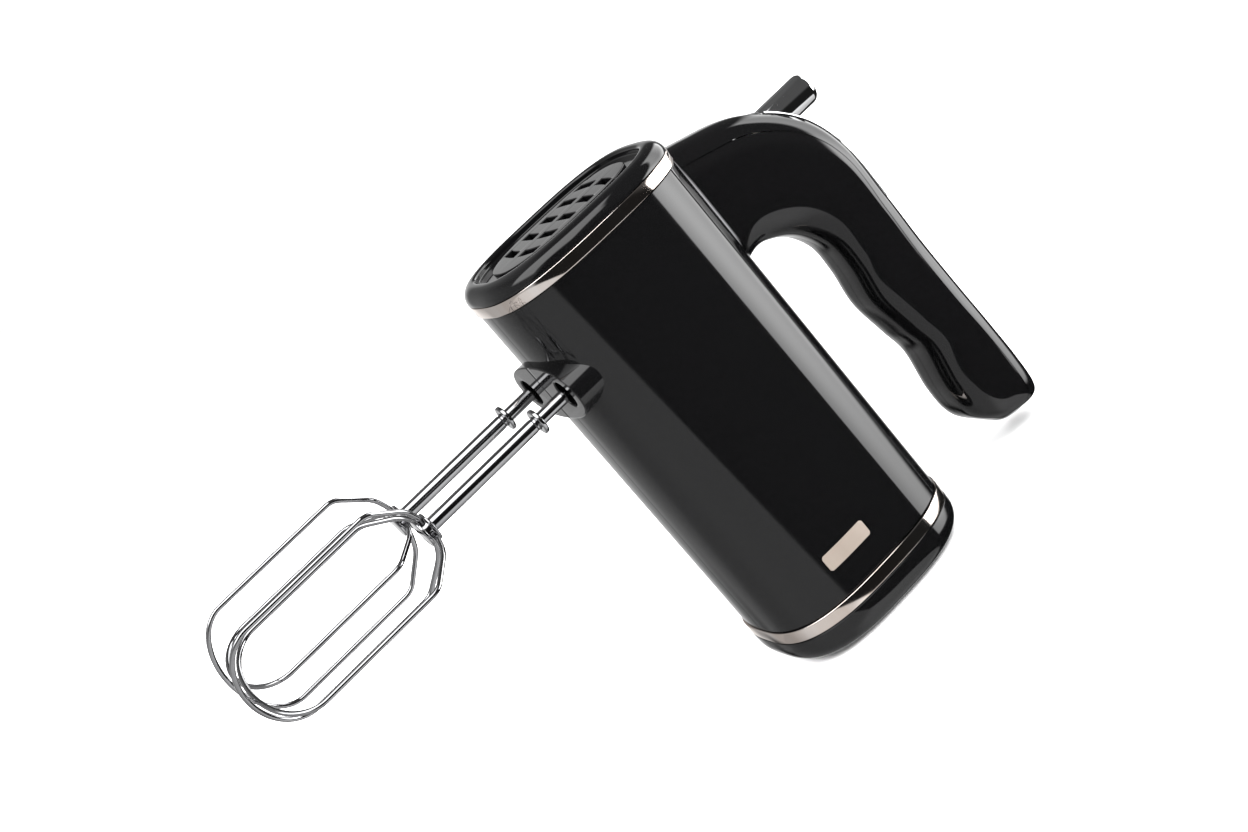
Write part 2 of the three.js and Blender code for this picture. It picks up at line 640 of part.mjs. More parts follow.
// A right-handed worm on the motor shaft, turned so that its threads clear the gears' teeth.
function worm() {
  const lead = Math.PI * MODULE * WORM_STARTS;
  const perRadian = lead / (2 * Math.PI);
  const crest = 0.4 / perRadian;
  const foot = 1.1 / perRadian;
  const [low, high] = [WORM_PITCH_RADIUS - DEDENDUM, WORM_PITCH_RADIUS + ADDENDUM];
  const middle = Math.PI / WORM_STARTS;
  const corners = [[-foot, low], [-crest, high], [crest, high], [foot, low], [middle, low]];
  const outline = [];
  for (let start = 0; start < WORM_STARTS; start++) {
    for (const [angle, r] of corners) {
      outline.push(rotated([r, 0], angle + (start * 2 * Math.PI) / WORM_STARTS));
    }
  }
  const steps = Math.round((2 * WORM_HALF_LENGTH / lead) * 10);
  const rings = [];
  for (let i = 0; i <= steps; i++) {
    const rise = WORM_HALF_LENGTH * ((2 * i) / steps - 1);
    rings.push(outline.map((p) => {
      const [x, y] = rotated(p, (rise / lead) * 2 * Math.PI);
      return [x, y, SPINDLE_Z + rise];
    }));
  }
  const bore = rod(MOTOR_SHAFT_RADIUS + GAP, 'Z', SPINDLE_Z - 20, SPINDLE_Z + 20, [0, 0, 0]);
  return loft(rings).subtract(bore);
}

const FRAME_X = [-28, -25];
const BUSH_RADIUS = 6.5;

function gearboxFrame() {
  let frame = box([FRAME_X[0], -26, 108.6], [FRAME_X[1], 26, 156]);
  frame = frame.add(box([FRAME_X[0], -18, 153], [-9, 18, 156]));
  for (const side of [1, -1]) {
    frame = frame.subtract(rod(BUSH_RADIUS + GAP, 'X', -40, -10, spindleCentre(side)));
  }
  return frame;
}

function buildGearbox() {
  add('gearbox_frame', gearboxFrame(), greyPlastic());
  for (const [hand, side] of [['left', 1], ['right', -1]]) {
    const centre = spindleCentre(side);
    add(`spindle_bush_${hand}`, tube(BUSH_RADIUS, SPINDLE_RADIUS + GAP, 'X', -30, -23, centre), brass());
    add(`spindle_${hand}`, tube(SPINDLE_RADIUS, SPINDLE_BORE, 'X', -33, 4, centre), steel());
    add(`drive_gear_${hand}`, driveGear(side), nylon());
  }
}

// ---------------------------------------------------------------- motor

const STACK = [52, 92]; // laminations of stator and armature, along Z
const ARMATURE_RADIUS = 16.5;
const AIR_GAP = 0.8;
const ARMATURE_SLOTS = 8;
const COIL_X = [17.8, 24];
const COIL_OUTER_Y = 20;
const COIL_INNER_Y = 14;
const COIL_OUTER_Z = [46, 98];
const COIL_INNER_Z = [51.4, 92.6];
const BRUSH_Z = 39;

function stator() {
  let core = prism(superellipse(27.5, 26.5, 9, 24), 'Z', ...STACK);
  core = core.subtract(rod(ARMATURE_RADIUS + AIR_GAP, 'Z', STACK[0] - 1, STACK[1] + 1, [0, 0, 0], 24));
  for (const side of [1, -1]) {
    for (const hand of [1, -1]) {
      const xs = [side * (COIL_X[0] - GAP), side * (COIL_X[1] + GAP)].sort((a, b) => a - b);
      const ys = [hand * (COIL_INNER_Y - GAP), hand * (COIL_OUTER_Y + GAP)].sort((a, b) => a - b);
      core = core.subtract(box([xs[0], ys[0], 40], [xs[1], ys[1], 110]));
      const mouth = [side * 9, side * 18].sort((a, b) => a - b);
      const lips = [hand * 14, hand * 16].sort((a, b) => a - b);
      core = core.subtract(box([mouth[0], lips[0], 40], [mouth[1], lips[1], 110]));
    }
  }
  return core;
}

function fieldCoil(side) {
  const [x0, x1] = [side * COIL_X[0], side * COIL_X[1]].sort((a, b) => a - b);
  const outer = rectangle(-COIL_OUTER_Y, COIL_OUTER_Y, ...COIL_OUTER_Z);
  const inner = rectangle(-COIL_INNER_Y, COIL_INNER_Y, ...COIL_INNER_Z);
  return prism(outer, 'X', x0, x1, [inner]);
}

function armatureSlotAngles() {
  return Array.from({ length: ARMATURE_SLOTS }, (_, i) => (i / ARMATURE_SLOTS) * 2 * Math.PI);
}

function radialBar(angle, inner, outer, halfWidth, from, to) {
  const corners = rectangle(inner, outer, -halfWidth, halfWidth).map((p) => rotated(p, angle));
  return prism(corners, 'Z', from, to);
}

function armatureCore() {
  let core = tube(ARMATURE_RADIUS, MOTOR_SHAFT_RADIUS + GAP, 'Z', ...STACK, [0, 0, 0], 24);
  for (const angle of armatureSlotAngles()) core = core.subtract(radialBar(angle, 9, 20, 1.5, 40, 110));
  return core;
}

function armatureWinding() {
  let winding = tube(14.5, 5, 'Z', STACK[0] - 4, STACK[0] - GAP, [0, 0, 0], 24);
  winding = winding.add(tube(14.5, 5, 'Z', STACK[1] + GAP, STACK[1] + 4, [0, 0, 0], 24));
  for (const angle of armatureSlotAngles()) {
    winding = winding.add(radialBar(angle, 9 + GAP, 14.2, 1.5 - GAP, STACK[0] - 1, STACK[1] + 1));
  }
  return winding;
}

function coolingFan() {
  let fan = rod(25, 'Z', 158, 159.5, [0, 0, 0], 24).add(rod(6, 'Z', 158, 167.5, [0, 0, 0]));
  for (let i = 0; i < 7; i++) fan = fan.add(radialBar((i / 7) * 2 * Math.PI, 5, 24.5, 0.7, 159, 167));
  return fan.subtract(rod(MOTOR_SHAFT_RADIUS + GAP, 'Z', 150, 170, [0, 0, 0]));
}

function bracket(from, to, bushRadius) {
  return prism(superellipse(28, 27, 3.4, 24), 'Z', from, to)
    .subtract(rod(bushRadius + GAP, 'Z', from - 1, to + 1, [0, 0, 0]));
}

function rearBracket() {
  let plate = bracket(24, 28, 6);
  for (const side of [1, -1]) {
    const ys = [side * 12, side * 20].sort((a, b) => a - b);
    plate = plate.add(box([-9, ys[0], 27], [-4.3, ys[1], 43]));
  }
  return plate;
}

function buildMotor() {
  add('motor_shaft', rod(MOTOR_SHAFT_RADIUS, 'Z', 21, 168.2, [0, 0, 0]), steel());
  add('armature_core', armatureCore(), laminated());
  add('armature_winding', armatureWinding(), copper());
  add('commutator', tube(8, MOTOR_SHAFT_RADIUS + GAP, 'Z', 33, 45, [0, 0, 0], 24), copper());
  add('worm', worm(), steel());
  add('cooling_fan', coolingFan(), greyPlastic());
  add('motor_stator', stator(), laminated());
  add('field_coil_upper', fieldCoil(1), copper());
  add('field_coil_lower', fieldCoil(-1), copper());
  add('rear_motor_bracket', rearBracket(), greyPlastic());
  add('front_motor_bracket', bracket(104, 108, 6), greyPlastic());
  add('rear_motor_bush', tube(6, MOTOR_SHAFT_RADIUS + GAP, 'Z', 23, 29, [0, 0, 0]), brass());
  add('front_motor_bush', tube(6, MOTOR_SHAFT_RADIUS + GAP, 'Z', 103, 109, [0, 0, 0]), brass());
  for (const [hand, side] of [['left', 1], ['right', -1]]) {
    const across = (from, to, half) => {
      const ys = [side * from, side * to].sort((a, b) => a - b);
      return box([-half, ys[0], BRUSH_Z - half], [half, ys[1], BRUSH_Z + half]);
    };
    add(`carbon_brush_${hand}`, across(8.3, 19, 2.5), carbon());
    add(`brush_holder_${hand}`, across(10, 23, 4).subtract(across(9, 24, 2.8)), brass());
  }
}

function buildElectrics() {
  add('speed_switch', box([60, -8, 126], [74, 8, 140]), greyPlastic());
  add('control_board', box([28.8, -17, 99], [30.2, 17, 130]), circuitGreen());
}

// ---------------------------------------------------------------- beaters

const COLLAR_X = [-57.3, -55.7];
const HUB_DISC = 5.5;
const LOWER_SHAFT_RADIUS = 2.65;

// One bent wire: out from the hub, over the shoulder, down, round the end and back up.
function cageWire(side, phase, tipX) {
  const half = [
    [3.6, BEATER_HUB_X], [6.5, BEATER_HUB_X], [13, BEATER_HUB_X - 2.2],
    [CAGE_RADIUS, BEATER_HUB_X - CAGE_SHOULDER],
  ];
  const arcSteps = 6;
  for (let i = 0; i <= arcSteps; i++) {
    const angle = (i / arcSteps) * (Math.PI / 2);
    half.push([CAGE_RADIUS * Math.cos(angle), tipX + CAGE_BOTTOM * (1 - Math.sin(angle))]);
  }
  const outline = [...half, ...half.slice(0, -1).reverse().map(([r, x]) => [-r, x])];
  const angle = THREE.MathUtils.degToRad(phase);
  const [dy, dz] = [-Math.sin(angle), Math.cos(angle)];
  const [, cy, cz] = spindleCentre(side);
  const path = outline.map(([r, x]) => new THREE.Vector3(x, cy + r * dy, cz + r * dz));
  return sweep(path, WIRE_RADIUS, 6, () => new THREE.Vector3(0, dz, -dy));
}

function beaterShaft(side) {
  const profile = [[0, BEATER_HUB_X + 2.4], [LOWER_SHAFT_RADIUS, BEATER_HUB_X + 2.4],
    [LOWER_SHAFT_RADIUS, COLLAR_X[0] - 1.5], [BEATER_SHAFT_RADIUS, COLLAR_X[0] - 1],
    [BEATER_SHAFT_RADIUS, SHAFT_TOP_X - 1], [BEATER_SHAFT_RADIUS - 0.8, SHAFT_TOP_X], [0, SHAFT_TOP_X]];
  return revolve(profile, 'X', spindleCentre(side));
}

function beaterHub(side) {
  const [upper, lower] = [BEATER_HUB_X + 1.3, BEATER_HUB_X - 1.3];
  const profile = [[0, lower - 1], [HUB_DISC, lower - 1], [HUB_DISC, lower], [3.2, lower],
    [3.2, upper], [HUB_DISC, upper], [HUB_DISC, upper + 0.8], [0, upper + 0.8]];
  return revolve(profile, 'X', spindleCentre(side));
}

function buildBeaters() {
  const crossing = 2 * WIRE_RADIUS + 0.4;
  for (const [hand, side] of [['left', 1], ['right', -1]]) {
    const phase = side > 0 ? BEATER_PHASE_LEFT : BEATER_PHASE_RIGHT;
    const collar = tube(5, BEATER_SHAFT_RADIUS + GAP, 'X', ...COLLAR_X, spindleCentre(side));
    add(`beater_shaft_${hand}`, beaterShaft(side), chrome());
    add(`beater_collar_${hand}`, collar, chrome());
    add(`beater_hub_${hand}`, beaterHub(side), chrome());
    add(`beater_outer_wire_${hand}`, cageWire(side, phase, BEATER_TIP_X), chrome());
    add(`beater_inner_wire_${hand}`, cageWire(side, phase + 90, BEATER_TIP_X + crossing), chrome());
  }
}

buildHousing();
buildHandle();
buildEjector();
buildGearbox();
buildMotor();
buildElectrics();
buildBeaters();

export default mixer;
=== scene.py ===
import json
import math

import bmesh
import bpy
from mathutils import Matrix, Vector


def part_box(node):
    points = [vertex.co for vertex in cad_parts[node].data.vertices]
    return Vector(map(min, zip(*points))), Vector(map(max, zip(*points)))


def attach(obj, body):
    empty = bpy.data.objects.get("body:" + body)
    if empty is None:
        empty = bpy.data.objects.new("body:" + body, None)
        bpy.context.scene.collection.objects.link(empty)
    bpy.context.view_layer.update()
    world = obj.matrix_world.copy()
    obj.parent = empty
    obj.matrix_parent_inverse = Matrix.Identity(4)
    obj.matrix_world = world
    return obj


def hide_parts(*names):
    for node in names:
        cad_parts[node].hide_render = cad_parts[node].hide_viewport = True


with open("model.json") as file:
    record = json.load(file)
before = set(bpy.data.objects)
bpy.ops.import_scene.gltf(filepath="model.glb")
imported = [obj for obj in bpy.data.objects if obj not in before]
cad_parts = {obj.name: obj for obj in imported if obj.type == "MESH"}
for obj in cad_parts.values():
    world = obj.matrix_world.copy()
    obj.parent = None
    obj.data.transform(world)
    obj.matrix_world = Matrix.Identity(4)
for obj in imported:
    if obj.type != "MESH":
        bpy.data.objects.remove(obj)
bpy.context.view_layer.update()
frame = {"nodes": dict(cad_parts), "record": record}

# ------------------------------------------------------------------ sizes, in millimetres

MM = 0.001
GAP = 0.3
SECTION_POWER = 2.86  # superellipse exponent of the motor housing
RING_HALF_X = 42.0
RING_HALF_Y = 36.9
SHELL_INSET = 0.7
SHELL_WALL = 2.4
SHELL_LOW = 18.0
SHELL_HIGH = 169.1
SPINE_HALF_Y = 28.0  # the strip under the handle, between two seams
SEAM_ANGLE = 0.01125  # half the 0.7 mm seam beside that strip, as an angle of the outline
SCREW_WELLS = [(34, 40), (34, 116), (-34, 40), (-34, 116)]  # X and Z
WELL_RADIUS = 2.5
WELL_FLOOR_Y = 14
WELL_MOUTH_Y = 40  # outside the wall, as every cutter ends past what it cuts
BRIGHT_RINGS = [("front", 169.4, 174.0), ("rear", 12.7, 17.7)]  # heights of their edges
RING_DEPTH = 3
BADGE_THICKNESS = 0.45
BADGE_SINK = 0.05
BADGE_CORNER = 0.8

BOSS_FACE_X = -43.3
BOSS_HALF_Y = 28.6
BOSS_HALF_Z = 11.8
BOSS_POWER = 2.4
BOSS_DEPTH = 18.0
BOSS_EDGE = 0.5
BOSS_PARTING_Y = 0.12
SPINDLE_Y = 18.05
SPINDLE_Z = 136.0
SOCKET_RADIUS = 5.4

CAP_LOW = 174.3
CAP_TOP = 180.0
CAP_ROUND = 5.6
CAP_SKIRT = 4.5
CAP_WALL = 2.0
TRAY_INSET = 7.0
TRAY_FLOOR = 177.2
TRAY_REACH = 16.5  # how far in the cap's tray runs, under the panel
PANEL_TOP = 178.5
PANEL_HALF_X = 29.5
PANEL_HALF_Y = 21.5
PANEL_POWER = 2.5
VENT_PITCH = 9.4
VENT_HALF_WIDTH = 1.65
VENT_INNER_Y = 2.3
VENT_OUTER_Y = 16.2
VENT_BEND = 0.0003

REAR_CAP_HIGH = 12.4
REAR_CAP_ROUND = 9.0
REAR_CAP_WALL = 3
REAR_CAP_FLOOR = 2.4
REAR_CAP_INNER_CORNER = 4  # height of the inner corner between wall and floor
FLOOR_SHRINK = 0.02

HANDLE_HALF_WIDTH = 16.0
HANDLE_WALL = 2.6
HANDLE_POWER = 3.2
COVER_DEPTH = 7.5
# outlines of the handle in the X-Z plane, from inside the housing to the tip
HANDLE_BACK = [
    (34, 173), (53, 169), (73, 162.5), (90, 148.5), (98.1, 130), (99.1, 105),
    (99.1, 82), (99.6, 60), (100.3, 40), (100.8, 22), (99.7, 9.4), (94.2, 6),
]
HANDLE_FRONT = [
    (34, 118), (46.5, 122.6), (55.3, 120.4), (64, 113.8), (69.4, 103.6), (69.9, 91.5),
    (68.3, 76.8), (70.8, 61), (72.8, 49.4), (70.5, 32.5), (71.6, 18.9), (79.2, 9),
]
HANDLE_STEPS = 130
DOME_STEPS = 8
WALL_POINTS = 64
CROWN_DROP = 0.25  # how much lower a pad's top is at its sides than in the middle

# the controls: spans run along the handle, from 0 inside the housing to 1 where the tip closes
WINDOW_SPAN = (0.214, 0.4752)
WINDOW_HALF_WIDTH = 8.25
WINDOW_DEPTH = 5.6
PAD_SINK = 2.3
PAD_CORNER_RUN = 2.4  # how far a pad's corners draw in
PAD_EDGE_ANGLE = 28
BEZEL_SPAN = (0.216, 0.372)
BEZEL_HALF_WIDTH = 8.0
BEZEL_CORNER = 0.08
BEZEL_SLOPES = [(0.35, 0.22), (0.4, 0.42)]
TURBO_SPAN = (0.376, 0.47)
TURBO_HALF_WIDTH = 7.7
TURBO_CORNER = 0.1
TURBO_SLOPES = [(0.95, 0.6), (0.6, 0.8)]
TURBO_LOW = 0.75
TURBO_CLIMB = 0.75
KNOB_Z = 151.3
KNOB_RADIUS = 6.2
KNOB_BASE_X = 80.0
KNOB_TIP_X = 104.8
KNOB_BASE_ROUND = 0.3
KNOB_TIP_ROUND = 3.0
GLAND_X = 86.0
GLAND_HOLE_RADIUS = 4.3

# the bead under the handle: how far it stands out of the housing and of the handle
TRIM_BEAD = [
    (1.1, -0.2), (1.2, 0.0), (1.1, 0.25), (0.7, 0.7), (0.25, 1.1), (0.0, 1.15), (-0.3, 1.1),
]
TRIM_POINTS = 180
TRIM_REACH = 0.25  # the bead lies within this share of the handle
TRIM_MIDDLE_Z = 145
TRIM_WALL_SHRINK = 0.93
TRIM_WALL_STEP = 1.2

HUB_X = -108.5
TIP_X = -187.5
CAGE_RADIUS = 23.6
CAGE_SHOULDER = 13.0
CAGE_BOTTOM = 15.0
CORNER_RUN = 3.0  # the most that a wire's eased corner takes from each side
WIRE_RADIUS = 0.95
WIRE_CROSSING = 2.3
AXIS_RADIUS = 0.05  # a turned profile ends this close to its axis
STEM_RADIUS = 2.45
STEM_LOW_RADIUS = 2.65
STEM_TOP_X = -5.8
STEM_LOW_X = -106.1
FLANGE_RADIUS = 5.0
HUB_RADIUS = 5.5
HUB_WAIST = 3.2
BEATERS = [("left", 1, 15.0), ("right", -1, 30.0)]  # hand, side of Y, wire phase in degrees

# the photograph's camera: its direction in degrees, its place along its own axes in
# millimetres, and its lens on a sensor 36 mm wide
CAMERA_AZIMUTH = -14.563586
CAMERA_ELEVATION = 15.422105
CAMERA_ROLL = 40.672746
CAMERA_OFFSET = (-89.226474, 62.189107, 695.015203)
CAMERA_LENS = 54.166
SENSOR_WIDTH = 36

# the studio, in metres and watts
FLOOR_HALF = 12
LIGHTS = [("key", (0.6, -0.9, 1.3), 60), ("fill", (-1.0, 0.8, 1.1), 50)]
LIGHT_TARGET = (0, 0, 0.1)
LIGHT_SIZE = 1.2
SKY_STRENGTH = 1.12  # the even white that lights the object
MIRRORED_BASE = 0.015  # the darkest tone in its reflections


# ------------------------------------------------------------------ shapes

def superellipse(half_a, half_b, power, angle):
    c, s = math.cos(angle), math.sin(angle)
    return (
        half_a * math.copysign(abs(c) ** (2 / power), c),
        half_b * math.copysign(abs(s) ** (2 / power), s),
    )


def spread(points, count):
    """The open line through points, as count points at even distances along it."""
    lengths = [0.0]
    for p, q in zip(points, points[1:]):
        lengths.append(lengths[-1] + math.dist(p, q))
    out, i = [], 0
    for k in range(count):
        want = lengths[-1] * k / (count - 1)
        while i < len(points) - 2 and lengths[i + 1] < want:
            i += 1
        span = (lengths[i + 1] - lengths[i]) or 1.0
        f = min(1.0, max(0.0, (want - lengths[i]) / span))
        out.append(tuple(a + (b - a) * f for a, b in zip(points[i], points[i + 1])))
    return out


def arc(half_a, half_b, power, start, end, count):
    """Part of a superellipse from one angle to another, evenly spaced."""
    dense = 400
    line = [
        superellipse(half_a, half_b, power, start + (end - start) * k / dense)
        for k in range(dense + 1)
    ]
    return spread(line, count)


def even_angles(count):
    """Angles at which the housing's outline has evenly spaced points, the first on +X."""
    dense, total = 4000, [0.0]
    previous = superellipse(RING_HALF_X, RING_HALF_Y, SECTION_POWER, 0)
    for k in range(1, dense + 1):
        point = superellipse(RING_HALF_X, RING_HALF_Y, SECTION_POWER, math.tau * k / dense)
        total.append(total[-1] + math.dist(previous, point))
        previous = point
    angles, k = [], 0
    for i in range(count):
        while total[k] < total[-1] * i / count:
            k += 1
        angles.append(math.tau * k / dense)
    return angles


RIM_ANGLES = even_angles(224)


def housing_ring(inset, z):
    return [
        (*superellipse(RING_HALF_X - inset, RING_HALF_Y - inset, SECTION_POWER, a), z)
        for a in RIM_ANGLES
    ]


def housing_y(x):
    """Half depth of the shells' outline at x."""
    share = abs(x) / (RING_HALF_X - SHELL_INSET)
    return (RING_HALF_Y - SHELL_INSET) * (1 - share**SECTION_POWER) ** (1 / SECTION_POWER)


def housing_x(y):
    """Half length of the shells' outline at y."""
    share = abs(y) / (RING_HALF_Y - SHELL_INSET)
    return (RING_HALF_X - SHELL_INSET) * (1 - share**SECTION_POWER) ** (1 / SECTION_POWER)


def rounded(points, radii, steps=5):
    """A closed outline with its corners rounded, each by its own radius. Two corners share the
    edge between them in proportion to their radii."""
    out = []
    for i, p in enumerate(points):
        radius, following = radii[i], (i + 1) % len(points)
        if radius <= 0:
            out.append(p)
            continue
        corner = Vector(p)
        to_last, to_next = Vector(points[i - 1]) - corner, Vector(points[following]) - corner
        half = to_last.angle(to_next) / 2
        room_last = to_last.length * radius / (radius + radii[i - 1])
        room_next = to_next.length * radius / (radius + radii[following])
        cut_in = min(radius / math.tan(half), room_last * 0.98, room_next * 0.98)
        radius = cut_in * math.tan(half)
        middle = (to_last.normalized() + to_next.normalized()).normalized()
        centre = corner + middle * (radius / math.sin(half))
        first = corner + to_last.normalized() * cut_in - centre
        last = corner + to_next.normalized() * cut_in - centre
        for k in range(steps + 1):
            out.append(tuple(centre + radius * first.slerp(last, k / steps)))
    return out


def loft_faces(rings, size, wrap=False):
    faces = []
    for i in range(rings if wrap else rings - 1):
        j = (i + 1) % rings
        for k in range(size):
            m = (k + 1) % size
            faces.append((i * size + k, i * size + m, j * size + m, j * size + k))
    if not wrap:
        faces.append(tuple(range(size - 1, -1, -1)))
        faces.append(tuple((rings - 1) * size + k for k in range(size)))
    return faces


def mesh_object(name, vertices, faces):
    mesh = bpy.data.meshes.new(name)
    mesh.from_pydata([tuple(c * MM for c in v) for v in vertices], [], faces)
    obj = bpy.data.objects.new(name, mesh)
    bpy.context.scene.collection.objects.link(obj)
    clean(obj)
    return obj


def clean(obj):
    work = bmesh.new()
    work.from_mesh(obj.data)
    bmesh.ops.remove_doubles(work, verts=work.verts, dist=1e-6)
    bmesh.ops.recalc_face_normals(work, faces=work.faces)
    work.to_mesh(obj.data)
    work.free()


def loft(name, rings, wrap=False):
    vertices = [p for ring in rings for p in ring]
    return mesh_object(name, vertices, loft_faces(len(rings), len(rings[0]), wrap))


def around_housing(name, profile):
    """A band round the housing. profile is its closed section as (inset, height) pairs."""
    return loft(name, [housing_ring(inset, z) for inset, z in profile], wrap=True)


def turned(name, profile, centre, axis="X", segments=48, wrap=False):
    """profile's (radius, distance) pairs turned about an axis through centre."""
    rings = []
    for radius, along in profile:
        ring = []
        for k in range(segments):
            a = math.tau * k / segments
            c, s = radius * math.cos(a), radius * math.sin(a)
            x, y, z = centre
            if axis == "X":
                ring.append((along, y + c, z + s))
            elif axis == "Y":
                ring.append((x + s, along, z + c))
            else:
                ring.append((x + c, y + s, along))
        rings.append(ring)
    return loft(name, rings, wrap)


def tube_along(name, path, radius, normal, sides=14):
    """A round wire along a flat path; normal stands on the path's plane."""
    flat = Vector(normal).normalized()
    points = [Vector(p) for p in path]
    rings = []
    for i, p in enumerate(points):
        ahead = points[min(i + 1, len(points) - 1)] - points[max(i - 1, 0)]
        side = ahead.normalized().cross(flat)
        rings.append([
            tuple(p + radius * (math.cos(a) * flat + math.sin(a) * side))
            for a in (math.tau * k / sides for k in range(sides))
        ])
    return loft(name, rings)


def plate(name, outline, holes, matrix, thickness, edge):
    """A flat plate with holes, its edges rounded. The outline is in the matrix's X-Y plane and
    the plate's thickness runs from 0 along its Z."""
    curve = bpy.data.curves.new(name + "-outline", "CURVE")
    curve.dimensions = "2D"
    curve.fill_mode = "BOTH"
    curve.extrude = (thickness / 2 - edge) * MM
    curve.bevel_depth = edge * MM
    curve.bevel_resolution = 2
    curve.offset = -edge * MM
    for loop in [outline, *holes]:
        spline = curve.splines.new("POLY")
        spline.points.add(len(loop) - 1)
        for point, (a, b) in zip(spline.points, loop):
            point.co = (a * MM, b * MM, 0, 1)
        spline.use_cyclic_u = True
    drawn = bpy.data.objects.new(name + "-drawn", curve)
    bpy.context.scene.collection.objects.link(drawn)
    bpy.context.view_layer.update()
    evaluated = drawn.evaluated_get(bpy.context.evaluated_depsgraph_get())
    mesh = bpy.data.meshes.new_from_object(evaluated)
    bpy.data.objects.remove(drawn)
    bpy.data.curves.remove(curve)
    place = matrix @ Matrix.Translation((0, 0, thickness / 2 * MM))
    mesh.transform(place)
    mesh.materials.clear()
    mesh.name = name
    obj = bpy.data.objects.new(name, mesh)
    bpy.context.scene.collection.objects.link(obj)
    clean(obj)
    return obj


def cut(obj, *cutters):
    """Takes the cutters' volume from obj's mesh."""
    for cutter in cutters:
        modifier = obj.modifiers.new("cut", "BOOLEAN")
        modifier.operation = "DIFFERENCE"
        modifier.solver = "EXACT"
        modifier.object = cutter
    bpy.context.view_layer.update()
    evaluated = obj.evaluated_get(bpy.context.evaluated_depsgraph_get())
    mesh = bpy.data.meshes.new_from_object(evaluated)
    obj.modifiers.clear()
    old = obj.data
    obj.data = mesh
    bpy.data.meshes.remove(old)
    mesh.materials.clear()
    for cutter in cutters:
        bpy.data.objects.remove(cutter)
    return obj


def dress(obj, body, finish, replaces=(), sharp=40.0, bevel=0.0, segments=2, flat=False):
    """Smooth shading, rounded edges and material; hangs the piece from its body's empty and hides the
    CAD parts it replaces.
    """
    obj.data.shade_smooth()
    if bevel:
        modifier = obj.modifiers.new("edges", "BEVEL")
        modifier.width = bevel * MM
        modifier.segments = segments
        modifier.limit_method = "ANGLE"
        modifier.angle_limit = math.radians(sharp)
        modifier.harden_normals = True
    else:
        obj.data.set_sharp_from_angle(angle=math.radians(sharp))
    if flat:
        modifier = obj.modifiers.new("normals", "WEIGHTED_NORMAL")
        modifier.weight = 100
        modifier.keep_sharp = True
    obj.data.materials.append(finish)
    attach(obj, body)
    if replaces:
        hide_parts(*replaces)
    return obj


# ------------------------------------------------------------------ materials

def node_material(name):
    material = bpy.data.materials.new(name)
    material.use_nodes = True
    nodes = material.node_tree.nodes
    return material, nodes, material.node_tree.links, nodes["Principled BSDF"]


def noise(nodes, links, scale, detail=3.0, stretch=None):
    """Noise in the object's own coordinates; stretch squeezes it along an axis."""
    where = nodes.new("ShaderNodeTexCoord")
    texture = nodes.new("ShaderNodeTexNoise")
    texture.inputs["Scale"].default_value = scale
    texture.inputs["Detail"].default_value = detail
    if stretch:
        mapping = nodes.new("ShaderNodeMapping")
        mapping.inputs["Scale"].default_value = stretch
        links.new(where.outputs["Object"], mapping.inputs["Vector"])
        links.new(mapping.outputs["Vector"], texture.inputs["Vector"])
    else:
        links.new(where.outputs["Object"], texture.inputs["Vector"])
    return texture.outputs["Fac"]


def map_range(nodes, links, source, low, high, first, last):
    """A node that maps source so that low gives first and high gives last."""
    node = nodes.new("ShaderNodeMapRange")
    values = (low, high, first, last)
    for key, value in zip(("From Min", "From Max", "To Min", "To Max"), values):
        node.inputs[key].default_value = value
    links.new(source, node.inputs["Value"])
    return node


def ramp(nodes, links, source, low, high, first, last):
    """source mapped so that low gives first and high gives last, colours or numbers."""
    if isinstance(first, (int, float)):
        return map_range(nodes, links, source, low, high, first, last).outputs["Result"]
    node = nodes.new("ShaderNodeValToRGB")
    node.color_ramp.elements[0].position = low
    node.color_ramp.elements[1].position = high
    node.color_ramp.elements[0].color = (*first, 1)
    node.color_ramp.elements[1].color = (*last, 1)
    links.new(source, node.inputs["Fac"])
    return node.outputs["Color"]


def bump(nodes, links, source, shader, strength, distance):
    node = nodes.new("ShaderNodeBump")
    node.inputs["Strength"].default_value = strength
    node.inputs["Distance"].default_value = distance
    links.new(source, node.inputs["Height"])
    links.new(node.outputs["Normal"], shader.inputs["Normal"])


def gloss_black():
    material, nodes, links, shader = node_material("gloss-black-moulding")
    shader.inputs["IOR"].default_value = 1.5
    smudge = noise(nodes, links, 45, 4)
    links.new(ramp(nodes, links, smudge, 0.3, 0.75, 0.035, 0.075), shader.inputs["Roughness"])
    dust = noise(nodes, links, 1900, 1)
    tone = ramp(nodes, links, dust, 0.74, 0.8, (0.0027, 0.0027, 0.0029), (0.013, 0.013, 0.013))
    links.new(tone, shader.inputs["Base Color"])
    bump(nodes, links, noise(nodes, links, 420, 2), shader, 0.02, 0.0001)
    return material


def metal(name, dark, light, roughness, scale=60, grain=None, relief=0.03, metallic=1.0):
    """Plated or bare metal: tone and polish vary a little, with a fine relief."""
    material, nodes, links, shader = node_material(name)
    shader.inputs["Metallic"].default_value = metallic
    cloud = noise(nodes, links, scale, 4, grain)
    links.new(ramp(nodes, links, cloud, 0.3, 0.7, dark, light), shader.inputs["Base Color"])
    polish = noise(nodes, links, scale * 2.3, 5, grain)
    low, high = roughness
    links.new(ramp(nodes, links, polish, 0.3, 0.75, low, high), shader.inputs["Roughness"])
    bump(nodes, links, noise(nodes, links, scale * 6, 2, grain), shader, relief, 0.0001)
    return material


